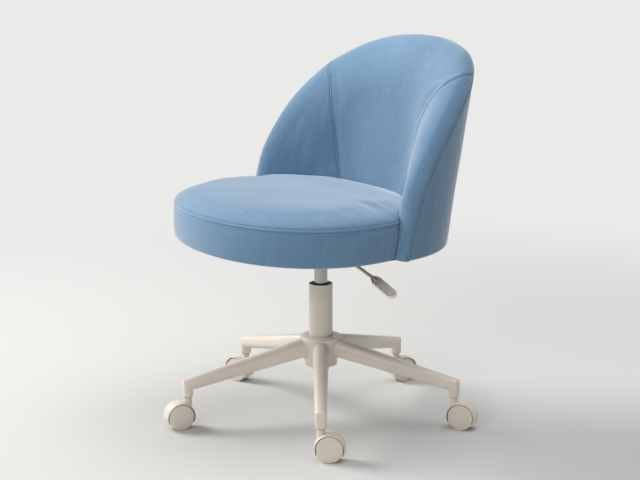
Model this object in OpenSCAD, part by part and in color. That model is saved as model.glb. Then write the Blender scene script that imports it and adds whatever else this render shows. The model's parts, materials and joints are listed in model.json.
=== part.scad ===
// Swivel office chair: an upholstered barrel-back seat on a gas lift and a five-star castor base.
// The sitter faces -Y, +Z is up, the lift's axis is the Z axis and the castors stand on z = 0.

/* [Base] */
// Distance from the lift's axis to each castor stem
stem_circle = 290; // [240:1:330]
// Turn of the first arm about the lift, from the +X axis
base_turn = -33.4; // [-180:0.1:180]
// Height of the underside of the hub
hub_z = 111; // [105:0.5:125]
// Height of the hub casting
hub_h = 64; // [56:1:80]
// Radius of the hub's body between the arms
hub_r = 35; // [33:0.5:42]
// How far the hub's top flange stands out past its body
hub_flange = 8.5; // [3:0.5:12]
// Width of an arm at the hub
arm_root_w = 33; // [26:0.5:38]
// Height of an arm at the hub
arm_root_h = 40; // [30:0.5:46]
// Width of an arm at its tip, which is also the width of the stem socket
arm_tip_w = 24; // [21:0.5:30]
// Height of an arm at its tip
arm_tip_h = 22; // [18:0.5:28]
// Length of the vertical stem socket under the tip's lower edge
socket_drop = 13; // [8:0.5:24]

/* [Castors] */
// Radius of a castor wheel
wheel_r = 27; // [22:0.5:32]
// Width of one wheel
wheel_w = 13.8; // [10:0.1:20]
// Trail: how far the axle lies behind the stem
trail = 18; // [14:0.5:24]
// Thickness of the hood's web between the two wheels
web_t = 5; // [4:0.1:8]
// Wall of the hood over the wheels
hood_wall = 2.1; // [1.5:0.1:4]
// Gap between a wheel and the hood over it
hood_gap = 1.7; // [1:0.1:4]
// Height of the hood's lower edge over the floor
hood_edge_z = 13; // [8:0.5:20]
// How far the hood swells at the middle of its width
hood_crown = 0.7; // [0:0.1:2]
// Height of the collar between the hood's top and the stem socket
boss_h = 6.5; // [4:0.5:12]
// Diameter of the castor's stem
stem_d = 11; // [9:0.1:12]
// Length of the stem inside its sleeve
stem_grip = 25; // [18:0.5:26]
// Diameter of the castor's axle
axle_d = 6; // [5:0.1:8]
// Turn of each castor from its arm's outward direction, castor by castor
castor_turns = [85, -3, -26, 19, 4]; // [-180:1:180]

/* [Gas lift] */
// Outer diameter of the column tube
column_d = 50; // [46:0.5:60]
// Wall of the column tube
column_wall = 2; // [1.5:0.1:3]
// Height of the column tube's foot
column_z = 100; // [97:0.5:102]
// Height of the column tube's open top
column_top = 286.5; // [270:0.5:300]
// Outer diameter of the chromed pressure tube
lift_d = 28; // [26:0.5:32]
// Wall of the pressure tube
lift_wall = 2.5; // [2:0.1:3.5]
// Height of the pressure tube's lower end
lift_z = 175; // [175:0.5:184]
// Diameter of the piston rod
rod_d = 10; // [8:0.1:12]
// Height of the piston's top on the rod
piston_z = 262; // [255:0.5:280]
// Length of the nylon guide bush in the column
bush_h = 82; // [60:1:90]
// How far the guide bush lies below the column's rim
bush_depth = 8; // [3:0.5:15]

/* [Mechanism] */
// Height of the seat board's underside
board_z = 388; // [384:0.5:400]
// Width of the mechanism plate over its flanges
plate_w = 170; // [150:1:200]
// Length of the mechanism plate from front to back
plate_l = 150; // [130:1:180]
// Thickness of the mechanism plate's steel
plate_t = 3; // [2:0.1:4]
// Depth of the plate's channel below its flanges
channel_h = 41; // [38:0.5:44]
// Half-width of the channel's floor
channel_r = 40; // [36:0.5:50]
// Spacing of the plate's bolts across the chair
bolt_x = 140; // [130:1:160]
// Spacing of the plate's bolts from front to back
bolt_y = 120; // [100:1:130]
// Distance from the lift's axis to the lever's pivot pin
pivot_x = 31; // [29:0.5:32]
// Height of the lever's pivot pin over the channel's floor
pivot_h = 22; // [20:0.5:23]
// Diameter of the lever rod
lever_d = 7; // [6:0.1:8]
// Downward slope of the lever
lever_slope = 13.3; // [8:0.1:20]
// Distance from the lift's axis to the tip of the lever's paddle
lever_reach = 282; // [240:1:300]
// Length of the paddle
paddle_l = 98; // [70:1:110]
// Width of the paddle
paddle_w = 25; // [18:0.5:34]
// Thickness of the paddle
paddle_t = 8; // [6.5:0.5:12]
// Diameter of the release pin on top of the pressure tube
pin_d = 8; // [6:0.1:10]

/* [Seat] */
// Width of the seat at its seam
seat_w = 561.4; // [500:1:600]
// Distance from the lift's axis forward to the seat's widest line
seat_line = 73.4; // [40:0.5:90]
// Distance from the widest line to the seat's front edge
seat_reach = 217; // [180:1:240]
// Height of the seam round the seat's top panel
seam_z = 460; // [450:1:480]
// Height of the cushion's crown over the seam
crown = 30; // [15:0.5:40]
// Thickness of the plywood seat board
board_t = 12; // [9:0.5:18]
// Thickness of the upholstery cloth with its lining
cloth_t = 1.2; // [0.8:0.1:2]

/* [Back] */
// How far the middle of the back's thickness lies inside the seat's widest point
back_inset = 8.7; // [0:0.1:30]
// Half-depth of the back's curve in plan
back_d2 = 260; // [230:1:280]
// Distance from the lift's axis forward to the centre of the back's curve, at its foot
back_line = 59.6; // [40:0.5:80]
// Angle round the plan curve from the middle of the back to each wing's end
wing_angle = 79.2; // [60:0.1:84]
// Recline of the back from the vertical
recline = 10.45; // [4:0.05:20]
// Height of the middle of the rolled edge at the top of the back
roll_z = 768.8; // [680:1:820]
// Radius of the rolled edge
roll_r = 26.2; // [20:0.1:32]
// Thickness of the pad from the middle of the rolled edge to the sitter
pad_t = 71; // [50:0.5:80]
// Distance over which the pad swells from the rim to its full thickness
pad_swell = 120; // [80:1:150]
// Thickness of the moulded back frame
frame_t = 8; // [6:0.5:12]

/* [Hidden] */

$fn = 64;

powder = [0.80, 0.75, 0.70];
velvet = [0.47, 0.60, 0.72];
velvet_shade = [0.40, 0.53, 0.66];
castor_nylon = [0.82, 0.77, 0.71];
chrome = [0.82, 0.83, 0.85];
bare_steel = [0.55, 0.56, 0.58];
black_nylon = [0.10, 0.10, 0.11];
foam_yellow = [0.93, 0.88, 0.70];
plywood = [0.80, 0.66, 0.46];

run_fit = 0.05;    // radial clearance of a running fit
free_gap = 0.4;    // gap between pieces that move past each other
slack = 0.02;      // overlap that keeps a cutter's face off the face it cuts
back_w2 = seat_w / 2 - back_inset;
back_z = board_z - 1;

arm_count = 5;
arm_step = 360 / arm_count;

// ---------- helpers ----------

function spow(v, e) = sign(v) * pow(abs(v), e);
function mix(a, b, u) = a + (b - a) * u;
function unit(v) = v / norm(v);
function flip(v) = [for (i = [len(v) - 1:-1:0]) v[i]];

// Closes the ring of points that starts at index s, by strips across it
function cap(s, n) = [for (k = [0:ceil(n / 2) - 2])
    let (a = s + k, b = a + 1, c = s + n - 2 - k, d = c + 1)
    each (b == c ? [[a, b, d]] : [[a, b, c], [a, c, d]])];
function turned(faces) = [for (f = faces) flip(f)];

// Skin over a row of closed rings, each with the same number of points
module loft(rings) {
    n = len(rings[0]);
    m = len(rings);
    pts = [for (r = rings) each r];
    sides = [for (i = [0:m - 2], j = [0:n - 1])
        let (a = i * n + j, b = i * n + (j + 1) % n, c = a + n, d = b + n,
             longer = norm(pts[a] - pts[d]) - norm(pts[b] - pts[c]))
        each (longer < 0 ? [[a, b, d], [a, d, c]] : [[a, b, c], [b, d, c]])];
    polyhedron(points = pts,
               faces = concat(sides, turned(cap(0, n)), cap((m - 1) * n, n)), convexity = 8);
}

module ring(r_out, r_in, h) {
    difference() {
        cylinder(r = r_out, h = h);
        translate([0, 0, -1]) cylinder(r = r_in, h = h + 2);
    }
}

// Puts its children at arm k, with +X along the arm
module at_arm(k) { rotate([0, 0, base_turn + k * arm_step]) children(); }

// ---------- five-star base ----------

column_r = column_d / 2;
hub_top = hub_z + hub_h;
taper_foot_r = column_r - 0.9;
collar_r = hub_r + hub_flange;

// Outline of the hub from its axis: a waisted body under a rounded flange
hub_outline = concat(
    [[0, hub_z], [hub_r - 1.5, hub_z], [hub_r - 0.4, hub_z + 1.6]],
    [for (u = [0.45:0.11:1]) [hub_r + (hub_flange - 0.6) * pow((u - 0.45) / 0.55, 2.2), hub_z + (hub_h - 9) * u]],
    [for (a = [0:22.5:90]) [collar_r - 6 + 6 * cos(a), hub_top - 6 + 6 * sin(a)]],
    [[column_r + 5, hub_top], [column_r + 3, hub_top - 2.5], [0, hub_top - 2.5]]);

module hub_body() { rotate_extrude() polygon(hub_outline); }

// The tapered seat that the column's foot is driven into
module hub_taper() {
    translate([0, 0, hub_z - 1])
        cylinder(r1 = taper_foot_r - 0.9 / hub_h, r2 = column_r, h = hub_h - 1.5);
    translate([0, 0, hub_top - 2.5 - slack]) cylinder(r = column_r, h = 10);
}

module base_hub() {
    color(powder) difference() {
        hub_body();
        hub_taper();
        // relief under the hub, as the casting has
        translate([0, 0, hub_z - 1]) difference() {
            cylinder(r = hub_r - 4, h = 9);
            cylinder(r = taper_foot_r + 3.5, h = 9);
        }
    }
}

boss_gap = 0.8;        // gap between a castor's collar and the sleeve over it
sleeve_lip = 1.2;      // thickness of the sleeve's flange under the socket
hood_top = 2 * wheel_r + hood_gap + hood_wall + hood_crown;
boss_top = hood_top + boss_h;
socket_z = boss_top + boss_gap + sleeve_lip;
arm_wall = 2.2;
arm_root_z = hub_top - 7 - arm_root_h / 2;
arm_tip_z = socket_z + socket_drop + arm_tip_h / 2;
socket_r = arm_tip_w * 0.44;
arm_sides = 16;

// Cross-section of an arm, as [across, up] in units of its half-sizes
function arm_section(j) = let (a = j * 360 / arm_sides)
    [spow(cos(a), 0.78), spow(sin(a), 0.78)];

// A ring square to the arm at share u of the way from the hub's body to the stem
function arm_ring(u, inset = 0) = let (
    x = mix(hub_r, stem_circle, u),
    half_w = mix(arm_root_w, arm_tip_w, u) / 2 - inset,
    half_h = mix(arm_root_h, arm_tip_h, u) / 2 - inset,
    z = mix(arm_root_z, arm_tip_z, u))
    [for (j = [0:arm_sides - 1]) let (s = arm_section(j)) [x, half_w * s[0], z + half_h * s[1]]];

// The mitre where the arm turns down, and the open end of its socket
function socket_ring(rise) = [for (j = [0:arm_sides - 1]) let (s = arm_section(j))
    [stem_circle + socket_r * s[1], arm_tip_w / 2 * s[0],
     rise ? arm_tip_z + arm_tip_h / 2 * s[1] : socket_z]];

sleeve_r = stem_d / 2 + 2.2;
sleeve_h = stem_grip + 2;

module base_arm(k) {
    elbow = 1 - (socket_r + 9) / (stem_circle - hub_r);
    color(powder) at_arm(k) difference() {
        loft(concat([socket_ring(false), socket_ring(true)], [for (u = [elbow, 0.6, 0.3, 0.08, -0.05]) arm_ring(u)]));
        loft([for (u = [elbow - 0.02, 0.3, -0.06]) arm_ring(u, arm_wall)]);
        hub_body();
        translate([stem_circle, 0, socket_z - 1]) cylinder(r = sleeve_r, h = sleeve_h + 1);
    }
}

module stem_sleeves() {
    color(bare_steel) for (k = [0:arm_count - 1]) at_arm(k) translate([stem_circle, 0, 0]) {
        translate([0, 0, socket_z]) ring(sleeve_r, stem_d / 2 + run_fit, sleeve_h);
        translate([0, 0, socket_z - sleeve_lip]) ring(sleeve_r + 1.6, stem_d / 2 + run_fit, sleeve_lip);
    }
}

// ---------- gas lift ----------

column_bore = column_r - column_wall;
lift_r = lift_d / 2;
rod_r = rod_d / 2;
foot_t = 4;
bush_top = column_top - bush_depth;
bearing_z = column_z + foot_t;
race_t = 2.5;
ball_d = 4.8;
cage_z = bearing_z + race_t + 0.3;
collar_z = cage_z + ball_d + race_t;
race_r = 15;

module column_tube() {
    color(powder) difference() {
        union() {
            translate([0, 0, hub_top - 2.5]) cylinder(r = column_r, h = column_top - hub_top + 2.5);
            translate([0, 0, hub_z - 1])
                cylinder(r1 = taper_foot_r - 0.9 / hub_h, r2 = column_r, h = hub_h - 1.5);
            // the tube's end, swaged in to a cup for the bearing
            translate([0, 0, column_z]) cylinder(r = race_r + 3.2, h = hub_z - column_z);
        }
        translate([0, 0, bearing_z]) cylinder(r = race_r + 0.7, h = hub_z);
        translate([0, 0, hub_z + 1]) cylinder(r = taper_foot_r - 3, h = bush_top - bush_h - hub_z);
        translate([0, 0, bush_top - bush_h]) cylinder(r = column_bore, h = column_top);
        translate([0, 0, column_z - 1]) cylinder(r = rod_r + 0.3, h = foot_t + 2);
    }
}

// Ribbed nylon sleeve that guides the pressure tube
module guide_bush() {
    wall = 2.2;
    color(black_nylon) translate([0, 0, bush_top - bush_h]) difference() {
        union() {
            ring(lift_r + run_fit + wall, lift_r + run_fit, bush_h);
            ring(column_bore, column_bore - wall, bush_h);
            for (a = [0:45:315]) rotate([0, 0, a]) translate([lift_r + 1, -1, 0])
                cube([column_bore - wall / 2 - lift_r - 1, 2, bush_h]);
            translate([0, 0, bush_h - 3]) ring(column_bore, lift_r + run_fit, 3);
        }
        translate([0, 0, -1]) cylinder(r = lift_r + run_fit, h = bush_h + 2);
    }
}

module lower_race() {
    color(bare_steel) translate([0, 0, bearing_z]) ring(race_r, rod_r + 0.6, race_t);
}

module ball_cage() {
    balls = 8;
    orbit = (race_r + rod_r) / 2;
    color(bare_steel) translate([0, 0, cage_z]) {
        translate([0, 0, ball_d * 0.3]) difference() {
            ring(race_r - 0.8, rod_r + 0.8, ball_d * 0.4);
            for (i = [0:balls - 1]) rotate([0, 0, i * 360 / balls]) translate([orbit, 0, -1])
                cylinder(r = ball_d / 2 - 0.1, h = ball_d);
        }
        for (i = [0:balls - 1]) rotate([0, 0, i * 360 / balls]) translate([orbit, 0, ball_d / 2])
            sphere(r = ball_d / 2);
    }
}

module upper_race() {
    color(bare_steel) translate([0, 0, cage_z + ball_d]) ring(race_r, rod_r, race_t);
}

groove_z = column_z - 3.4;

module piston_rod() {
    color(chrome) {
        rotate_extrude() polygon([
            [0, column_z - 5], [rod_r - 0.8, column_z - 5], [rod_r, column_z - 4.4],
            [rod_r, groove_z], [rod_r - 1.4, groove_z], [rod_r - 1.4, groove_z + 1.5], [rod_r, groove_z + 1.5],
            [rod_r, collar_z], [rod_r + 2.5, collar_z], [rod_r + 2.5, collar_z + 4], [rod_r, collar_z + 4],
            [rod_r, piston_z - 12], [lift_r - lift_wall - 0.4, piston_z - 12],
            [lift_r - lift_wall - 0.4, piston_z], [0, piston_z]]);
    }
}

clip_gap = 3;
module rod_clip() {
    color(bare_steel) translate([0, 0, groove_z]) difference() {
        ring(rod_r + 3.5, rod_r - 1.4, 1.5);
        translate([0, -clip_gap / 2, -1]) cube([2 * rod_r, clip_gap, clip_gap + 1]);
    }
}

module bump_stop() {
    color(black_nylon) rotate_extrude() polygon([
        [rod_r, collar_z + 4], [race_r, collar_z + 4], [race_r + 0.5, collar_z + 8], [race_r - 3, collar_z + 12],
        [race_r - 1, collar_z + 16], [race_r - 4, collar_z + 21], [rod_r, collar_z + 21]]);
}

plate_top = board_z;
channel_z = plate_top - channel_h;
socket_drop_in = 13;   // how far the taper socket hangs below the channel
socket_rise = 25;      // and how far it stands up inside
socket_low = channel_z - socket_drop_in;
socket_high = channel_z + socket_rise;
lift_top = socket_high + 2;
guide_h = 15;
valve_h = 29;
pin_rise = 7;
taper_run = 0.9;

// Outline of the pressure tube's taper, which the socket's bore shares
module lift_taper(grow) {
    translate([0, 0, socket_low])
        cylinder(r1 = lift_r + grow, r2 = lift_r - taper_run + grow, h = lift_top - socket_low);
}

module pressure_tube() {
    color(chrome) difference() {
        union() {
            translate([0, 0, lift_z]) cylinder(r = lift_r, h = socket_low - lift_z);
            lift_taper(0);
        }
        translate([0, 0, lift_z - 1]) cylinder(r = lift_r - lift_wall, h = lift_top - valve_h - lift_z + 1);
        translate([0, 0, lift_top - valve_h + 4]) cylinder(r = pin_d / 2 + run_fit, h = valve_h);
    }
}

module rod_guide() {
    color(black_nylon) translate([0, 0, lift_z]) ring(lift_r - lift_wall, rod_r + run_fit, guide_h);
}

// ---------- seat mechanism ----------

module taper_socket() {
    color(bare_steel) difference() {
        union() {
            translate([0, 0, socket_low]) cylinder(r = lift_r + 5, h = socket_high - socket_low);
            translate([0, 0, channel_z - 4]) cylinder(r = lift_r + 9, h = 4);
        }
        lift_taper(0);
        translate([0, 0, socket_low - 1]) cylinder(r = lift_r, h = 1 + slack);
    }
}

wall_lean = 9;
lug_gap = 8.5;
pivot_z = channel_z + plate_t + pivot_h;
pivot_pin_d = 6;

// Section of the pressed plate: a channel with sloping walls between two flanges
plate_section = let (w = plate_w / 2, r = channel_r, l = wall_lean, t = plate_t, h = channel_h) [
    [-w, 0], [-w, -t], [-r - l - t, -t], [-r - t, -h], [r + t, -h], [r + l + t, -t], [w, -t], [w, 0],
    [r + l, 0], [r, t - h], [-r, t - h], [-r - l, 0]];

function bolt_spots() = [for (sx = [-1, 1], sy = [-1, 1]) [sx * bolt_x / 2, sy * bolt_y / 2]];
bolt_r = 3;
bolt_clear = 0.3;
channel_l = plate_l * 0.8;

module mechanism_plate() {
    color(powder) difference() {
        union() {
            translate([0, plate_l / 2, plate_top]) rotate([90, 0, 0])
                linear_extrude(plate_l) polygon(plate_section);
            for (s = [-1, 1]) translate([pivot_x, s * (lug_gap + 1.5), 0]) pivot_lug();
        }
        // the channel is shorter than the flanges, with its ends open
        for (s = [-1, 1]) translate([0, s * (plate_l + channel_l) / 2, plate_top - channel_h / 2 - plate_t])
            cube([2 * (channel_r + wall_lean + plate_t), plate_l, channel_h], center = true);
        translate([0, 0, channel_z - 1]) cylinder(r = lift_r + 5, h = plate_t + 2);
        for (p = bolt_spots()) translate([p[0], p[1], plate_top - plate_t - 1])
            cylinder(r = bolt_r + bolt_clear, h = plate_t + 2);
        // slot that the lever passes through
        translate([channel_r - 2, -lever_d / 2 - 3, pivot_z - 12]) cube([wall_lean + plate_t + 6, lever_d + 6, 17]);
        // lightening holes in the floor of the channel
        for (s = [-1, 1]) translate([0, s * (channel_l / 2 - 14), channel_z - 1]) cylinder(r = 9, h = plate_t + 2);
    }
}

// Ear folded up from the channel's floor to carry one end of the pivot pin
module pivot_lug() {
    difference() {
        translate([0, 1.5, 0]) rotate([90, 0, 0]) linear_extrude(3) polygon(concat(
            [[-7, channel_z + plate_t - 1], [7, channel_z + plate_t - 1]],
            [for (a = [0:22.5:180]) [6 * cos(a), pivot_z + 6 * sin(a)]]));
        translate([0, 5, pivot_z]) rotate([90, 0, 0]) cylinder(r = pivot_pin_d / 2, h = 10);
    }
}

module lever_pin() {
    color(bare_steel) translate([pivot_x, 0, pivot_z]) rotate([90, 0, 0]) {
        translate([0, 0, -lug_gap - 4.5]) cylinder(r = pivot_pin_d / 2, h = 2 * lug_gap + 9);
        for (s = [-1, 1]) translate([0, 0, s * (lug_gap + 4) - 1]) cylinder(r = pivot_pin_d / 2 + 1.5, h = 2);
    }
}

nose_z = lift_top + pin_rise + 0.3;
nose_t = 4;
nose_w = pin_d / 2 + 1;
eye_r = pivot_pin_d / 2 + 3;
rod_start = pivot_pin_d / 2 + 1;
rod_run = (lever_reach - pivot_x) / cos(lever_slope) - paddle_l * 0.8;
hub_half = lug_gap - 0.5;

// Steel lever: an eye on the pivot pin, a nose over the release pin and a sloping rod
module lever_rod() {
    color(powder) difference() {
        union() {
            translate([pivot_x, hub_half, pivot_z]) rotate([90, 0, 0]) cylinder(r = eye_r, h = 2 * hub_half);
            translate([0, lever_d / 2, 0]) rotate([90, 0, 0]) linear_extrude(lever_d) polygon([
                [-nose_w, nose_z], [nose_w, nose_z], [pivot_x - eye_r / 2, pivot_z - eye_r / 2],
                [pivot_x + eye_r / 2, pivot_z + eye_r * 0.65], [pivot_x - eye_r * 0.65, pivot_z + eye_r * 0.9],
                [nose_w * 1.6, nose_z + nose_t], [-nose_w, nose_z + nose_t]]);
            translate([pivot_x, 0, pivot_z]) rotate([0, 90 + lever_slope, 0])
                translate([0, 0, rod_start]) cylinder(r = lever_d / 2, h = rod_run - rod_start);
        }
        translate([pivot_x, hub_half + 1, pivot_z]) rotate([90, 0, 0])
            cylinder(r = pivot_pin_d / 2 + run_fit, h = 2 * hub_half + 2);
    }
}

// Outline of the paddle from the rod's side, a long drop shape
paddle_outline = let (w = paddle_w / 2, n = 12) concat(
    [for (i = [0:n]) let (a = 90 - 180 * i / n) [paddle_l - w + w * cos(a), w * sin(a)]],
    [for (i = [0:n]) let (u = 1 - i / n) [mix(0, paddle_l * 0.36, u), -mix(lever_d / 2 + 1, w, (1 - cos(180 * u)) / 2)]],
    [for (i = [0:n]) let (u = i / n) [mix(0, paddle_l * 0.36, u), mix(lever_d / 2 + 1, w, (1 - cos(180 * u)) / 2)]]);
paddle_rim = 2;
paddle_dish = 1.4;
rib_pitch = 4;

module lever_paddle() {
    start = (lever_reach - pivot_x) / cos(lever_slope) - paddle_l;
    grip_from = paddle_l * 0.34;
    color(powder) translate([pivot_x, 0, pivot_z]) rotate([0, lever_slope, 0]) translate([start, 0, -paddle_t / 2])
    difference() {
        linear_extrude(paddle_t) polygon(paddle_outline);
        // dished face with cross ribs left standing inside a plain rim
        for (x = [grip_from:rib_pitch:paddle_l - paddle_w / 2]) translate([x, -paddle_w / 2 + paddle_rim, paddle_t - paddle_dish])
            cube([rib_pitch * 0.55, paddle_w - 2 * paddle_rim, paddle_dish + 1]);
        translate([-1, 0, paddle_t / 2]) rotate([0, 90, 0]) cylinder(r = lever_d / 2, h = paddle_l * 0.2 + 1);
    }
}

pin_depth = 20;
module release_pin() {
    color(bare_steel) translate([0, 0, lift_top - pin_depth]) {
        cylinder(r = pin_d / 2, h = pin_depth + pin_rise - 1);
        translate([0, 0, pin_depth + pin_rise - 1]) cylinder(r1 = pin_d / 2, r2 = pin_d / 2 - 1, h = 1);
    }
}

// ---------- shape of the back ----------

back_power = 2.467;   // squareness of the back's curve in plan
arch_power = 1.97;    // how the rim falls from the top towards the wings
rim_power = 2.42;     // how the rim comes down at the wings
fan_power = 1.8;      // how the columns of the back fan out from its foot
rim_end = 89.5;       // the rim's last angle, at the wing's foot
columns = 26;
pad_rows = 5;

// Middle surface of the back: a squared curve in plan that leans back with height
function mid_surface(phi, z) = [
    back_w2 * spow(sin(phi), 2 / back_power),
    -back_line + back_d2 * spow(cos(phi), 2 / back_power) + (z - back_z) * tan(recline), z];
function outward(phi, z) = let (t = mid_surface(phi + 0.5, z) - mid_surface(phi - 0.5, z)) unit([-t[1], t[0], 0]);

// Middle line of the rolled edge, from one wing's foot over the top to the other
function rim_phi(a) = wing_angle * spow(sin(a), 2 / arch_power);
function rim_z(a) = back_z + (roll_z - back_z) * pow(max(0, cos(a)), 2 / rim_power);
function rim(a) = mid_surface(rim_phi(a), rim_z(a));
function rim_out(a) = outward(rim_phi(a), rim_z(a));
function rim_up(a) = unit(cross(rim(a + 0.4) - rim(a - 0.4), rim_out(a)));
rim_line = [for (a = [-90:3:90]) rim(a)];
function rim_distance(p) = min([for (q = rim_line) norm(p - q)]);

// Thickness of the pad in front of the middle surface, inset by s for the layer under the cloth
function swell(d, s) = let (x = min(1, (d + roll_r - s) / (pad_swell - s))) (pad_t - s) * sqrt(1 - (1 - x) * (1 - x));
function roll_start(s) = acos(1 - (roll_r - s) / (pad_swell - s));

function column_at(i) = 2 * i / columns - 1;
function foot_phi(c) = wing_angle * spow(c, fan_power);
function on_column(c, u, foot) = let (a = rim_end * c)
    [mix(foot_phi(c), rim_phi(a), u), mix(foot, rim_z(a), u)];

// Points up the sitter's face of column c and over the roll to a depth of stop behind its top
function inner_path(c, s, foot, stop) = let (a = rim_end * c, m = rim(a), o = rim_out(a), w = rim_up(a),
        b0 = roll_start(s), b1 = asin(stop / (pad_t - s))) concat(
    [for (j = [0:pad_rows - 1]) let (q = on_column(c, j / pad_rows, foot), p = mid_surface(q[0], q[1]))
        p - outward(q[0], q[1]) * swell(rim_distance(p), s)],
    [for (k = [0:3]) let (b = mix(b0, b1, k / 3))
        m + w * (roll_r - s - (pad_swell - s) * (1 - cos(b))) - o * (pad_t - s) * sin(b)]);

// Points over the back half of the roll, from a depth of start behind its top to the outer face
function roll_path(c, s, start) = let (a = rim_end * c, m = rim(a), o = rim_out(a), w = rim_up(a),
        r = roll_r - s, g0 = asin(start / r))
    [for (k = [0:4]) let (g = mix(g0, 90, k / 4)) m + (w * cos(g) + o * sin(g)) * r];

// Points down the surface that lies off behind the middle surface
function outer_path(c, off, foot) = [for (j = [pad_rows - 1:-1:0])
    let (q = on_column(c, j / pad_rows, foot)) mid_surface(q[0], q[1]) + outward(q[0], q[1]) * off];
function edge_path(c, off, rise, foot) = let (a = rim_end * c) concat(
    [rim(a) + rim_out(a) * off + rim_up(a) * rise], [rim(a) + rim_out(a) * off], outer_path(c, off, foot));

half_frame = frame_t / 2;
function pad_top(s, off) = sqrt(pow(roll_r - s, 2) - off * off);

frame_rise = roll_r - 14;
foot = board_z;

module back_pad() {
    color(foam_yellow) difference() {
        loft([for (i = [0:columns]) let (c = column_at(i)) concat(
            inner_path(c, cloth_t, foot, half_frame), edge_path(c, -half_frame, frame_rise, foot))]);
        foot_slots();
    }
}

module back_outer_pad() {
    color(foam_yellow) loft([for (i = [0:columns]) let (c = column_at(i)) concat(
        flip(edge_path(c, half_frame, frame_rise, foot)),
        roll_path(c, cloth_t, half_frame), outer_path(c, roll_r - cloth_t, foot))]);
}

module back_inner_cover() {
    color(velvet) difference() {
        loft([for (i = [0:columns]) let (c = column_at(i)) concat(
            inner_path(c, 0, foot, half_frame), roll_path(c, 0, half_frame),
            flip(roll_path(c, cloth_t, half_frame)), flip(inner_path(c, cloth_t, foot, half_frame)))]);
        foot_slots();
    }
}

module back_outer_cover() {
    color(velvet_shade) loft([for (i = [0:columns]) let (c = column_at(i), a = rim_end * c) concat(
        [rim(a) + rim_out(a) * roll_r], outer_path(c, roll_r, foot),
        flip(outer_path(c, roll_r - cloth_t, foot)), [rim(a) + rim_out(a) * (roll_r - cloth_t)])]);
}

frame_foot_t = 4;
foot_w = back_w2 * 0.16;
foot_spots = [-back_w2 * 0.4, 0, back_w2 * 0.4];
foot_front = mid_y(0) - back_d2 * 0.58;
foot_bolt_y = foot_front + foot_w / 2;

function mid_y(x) = -back_line + back_d2 * pow(1 - pow(abs(x) / back_w2, back_power), 1 / back_power)
    + (board_z - back_z) * tan(recline);
function frame_bolt_spots() = [for (x = foot_spots) [x, foot_bolt_y]];

// A foot of the back frame, grown by g all round
module frame_foot(x, g = 0) {
    linear_extrude(frame_foot_t + g) polygon(concat(
        [[x - foot_w / 2 - g, foot_front - g], [x + foot_w / 2 + g, foot_front - g]],
        [for (k = [4:-1:-4]) let (q = x + k / 8 * (foot_w + 2 * g)) [q, mid_y(q)]]));
}

// Slits in the layers that the feet pass through
module foot_slots() {
    for (x = foot_spots) translate([0, 0, board_z - slack]) frame_foot(x, 0.5);
}

module back_frame() {
    color(black_nylon) difference() {
        union() {
            loft([for (i = [0:columns]) let (c = column_at(i)) concat(
                flip(edge_path(c, -half_frame, frame_rise, foot)),
                edge_path(c, half_frame, frame_rise, foot))]);
            for (x = foot_spots) translate([0, 0, board_z]) frame_foot(x);
        }
        for (p = frame_bolt_spots()) translate([p[0], p[1], board_z - 1]) {
            cylinder(r = bolt_r + bolt_clear, h = frame_foot_t + 2);
            cylinder(r = head_r + bolt_clear, h = 1 + head_h);
        }
    }
}

// ---------- seat ----------

seat_power = 2.15;     // squareness of the seat's outline
rear_reach = 240;      // the outline's rear half before the back cuts into it
wall_gap = 3.6;        // gap between the seat and the back's inner cover
tuck = 16;             // how far the cover turns in under the board

// The seat's own outline as a distance from the middle of its widest line
function free_outline(psi) = pow(pow(abs(cos(psi)) / (seat_w / 2), seat_power)
    + pow(abs(sin(psi)) / (psi < 0 ? seat_reach : rear_reach), seat_power), -1 / seat_power);

function rim_phi_at(z) = wing_angle * pow(1 - pow(max(0, z - back_z) / (roll_z - back_z), rim_power), 1 / arch_power);

// The back's inner face at height z as [angle, distance] from the same middle, from wing to middle
function wall_table(z) = let (
    e = rim_phi_at(z), m = mid_surface(e, z), o = outward(e, z), w = [o[1], -o[0], 0], g = wall_gap,
    pts = concat(
        [for (k = [0:4]) let (b = roll_start(0) * k / 4)
            m + w * (roll_r + g - pad_swell * (1 - cos(b))) - o * (pad_t * sin(b) + g * sin(b))],
        [for (k = [1:14]) let (phi = e * (1 - k / 14), p = mid_surface(phi, z))
            p - outward(phi, z) * (swell(rim_distance(p), 0) + g)]))
    [for (p = pts) let (x = p[0], y = p[1] + seat_line) [atan2(y, x), norm([x, y])]];
function wall_distance(psi, table) = psi < table[0][0] ? 1e4 : lookup(psi, table);

seat_angles = concat([for (a = [-90:10:0]) a], [6, 10], [for (a = [12:2:26]) a], [30, 36], [for (a = [42:8:82]) a]);
half_count = len(seat_angles);

// Outline of the seat at height z, drawn in from its full outline or kept inside the back
function seat_ring(z, inset, layer = 0) = let (
    table = wall_table(max(z, back_z + 1.5)),
    right = [for (psi = seat_angles) let (
        wall = wall_distance(psi, table) - inset * 0.1,
        r = min(free_outline(psi) - inset, wall) - layer) [r * cos(psi), r * sin(psi) - seat_line, z]])
    concat(right, [[0, min(rear_reach - inset, wall_distance(90, table) - inset * 0.1) - layer - seat_line, z]],
           [for (i = [half_count - 1:-1:1]) [-right[i][0], right[i][1], z]]);

seat_low = board_z - cloth_t;
foam_z = board_z + board_t;
band = seam_z - foam_z;
fold = 12;             // how far in the cover's lower corner reaches

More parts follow.
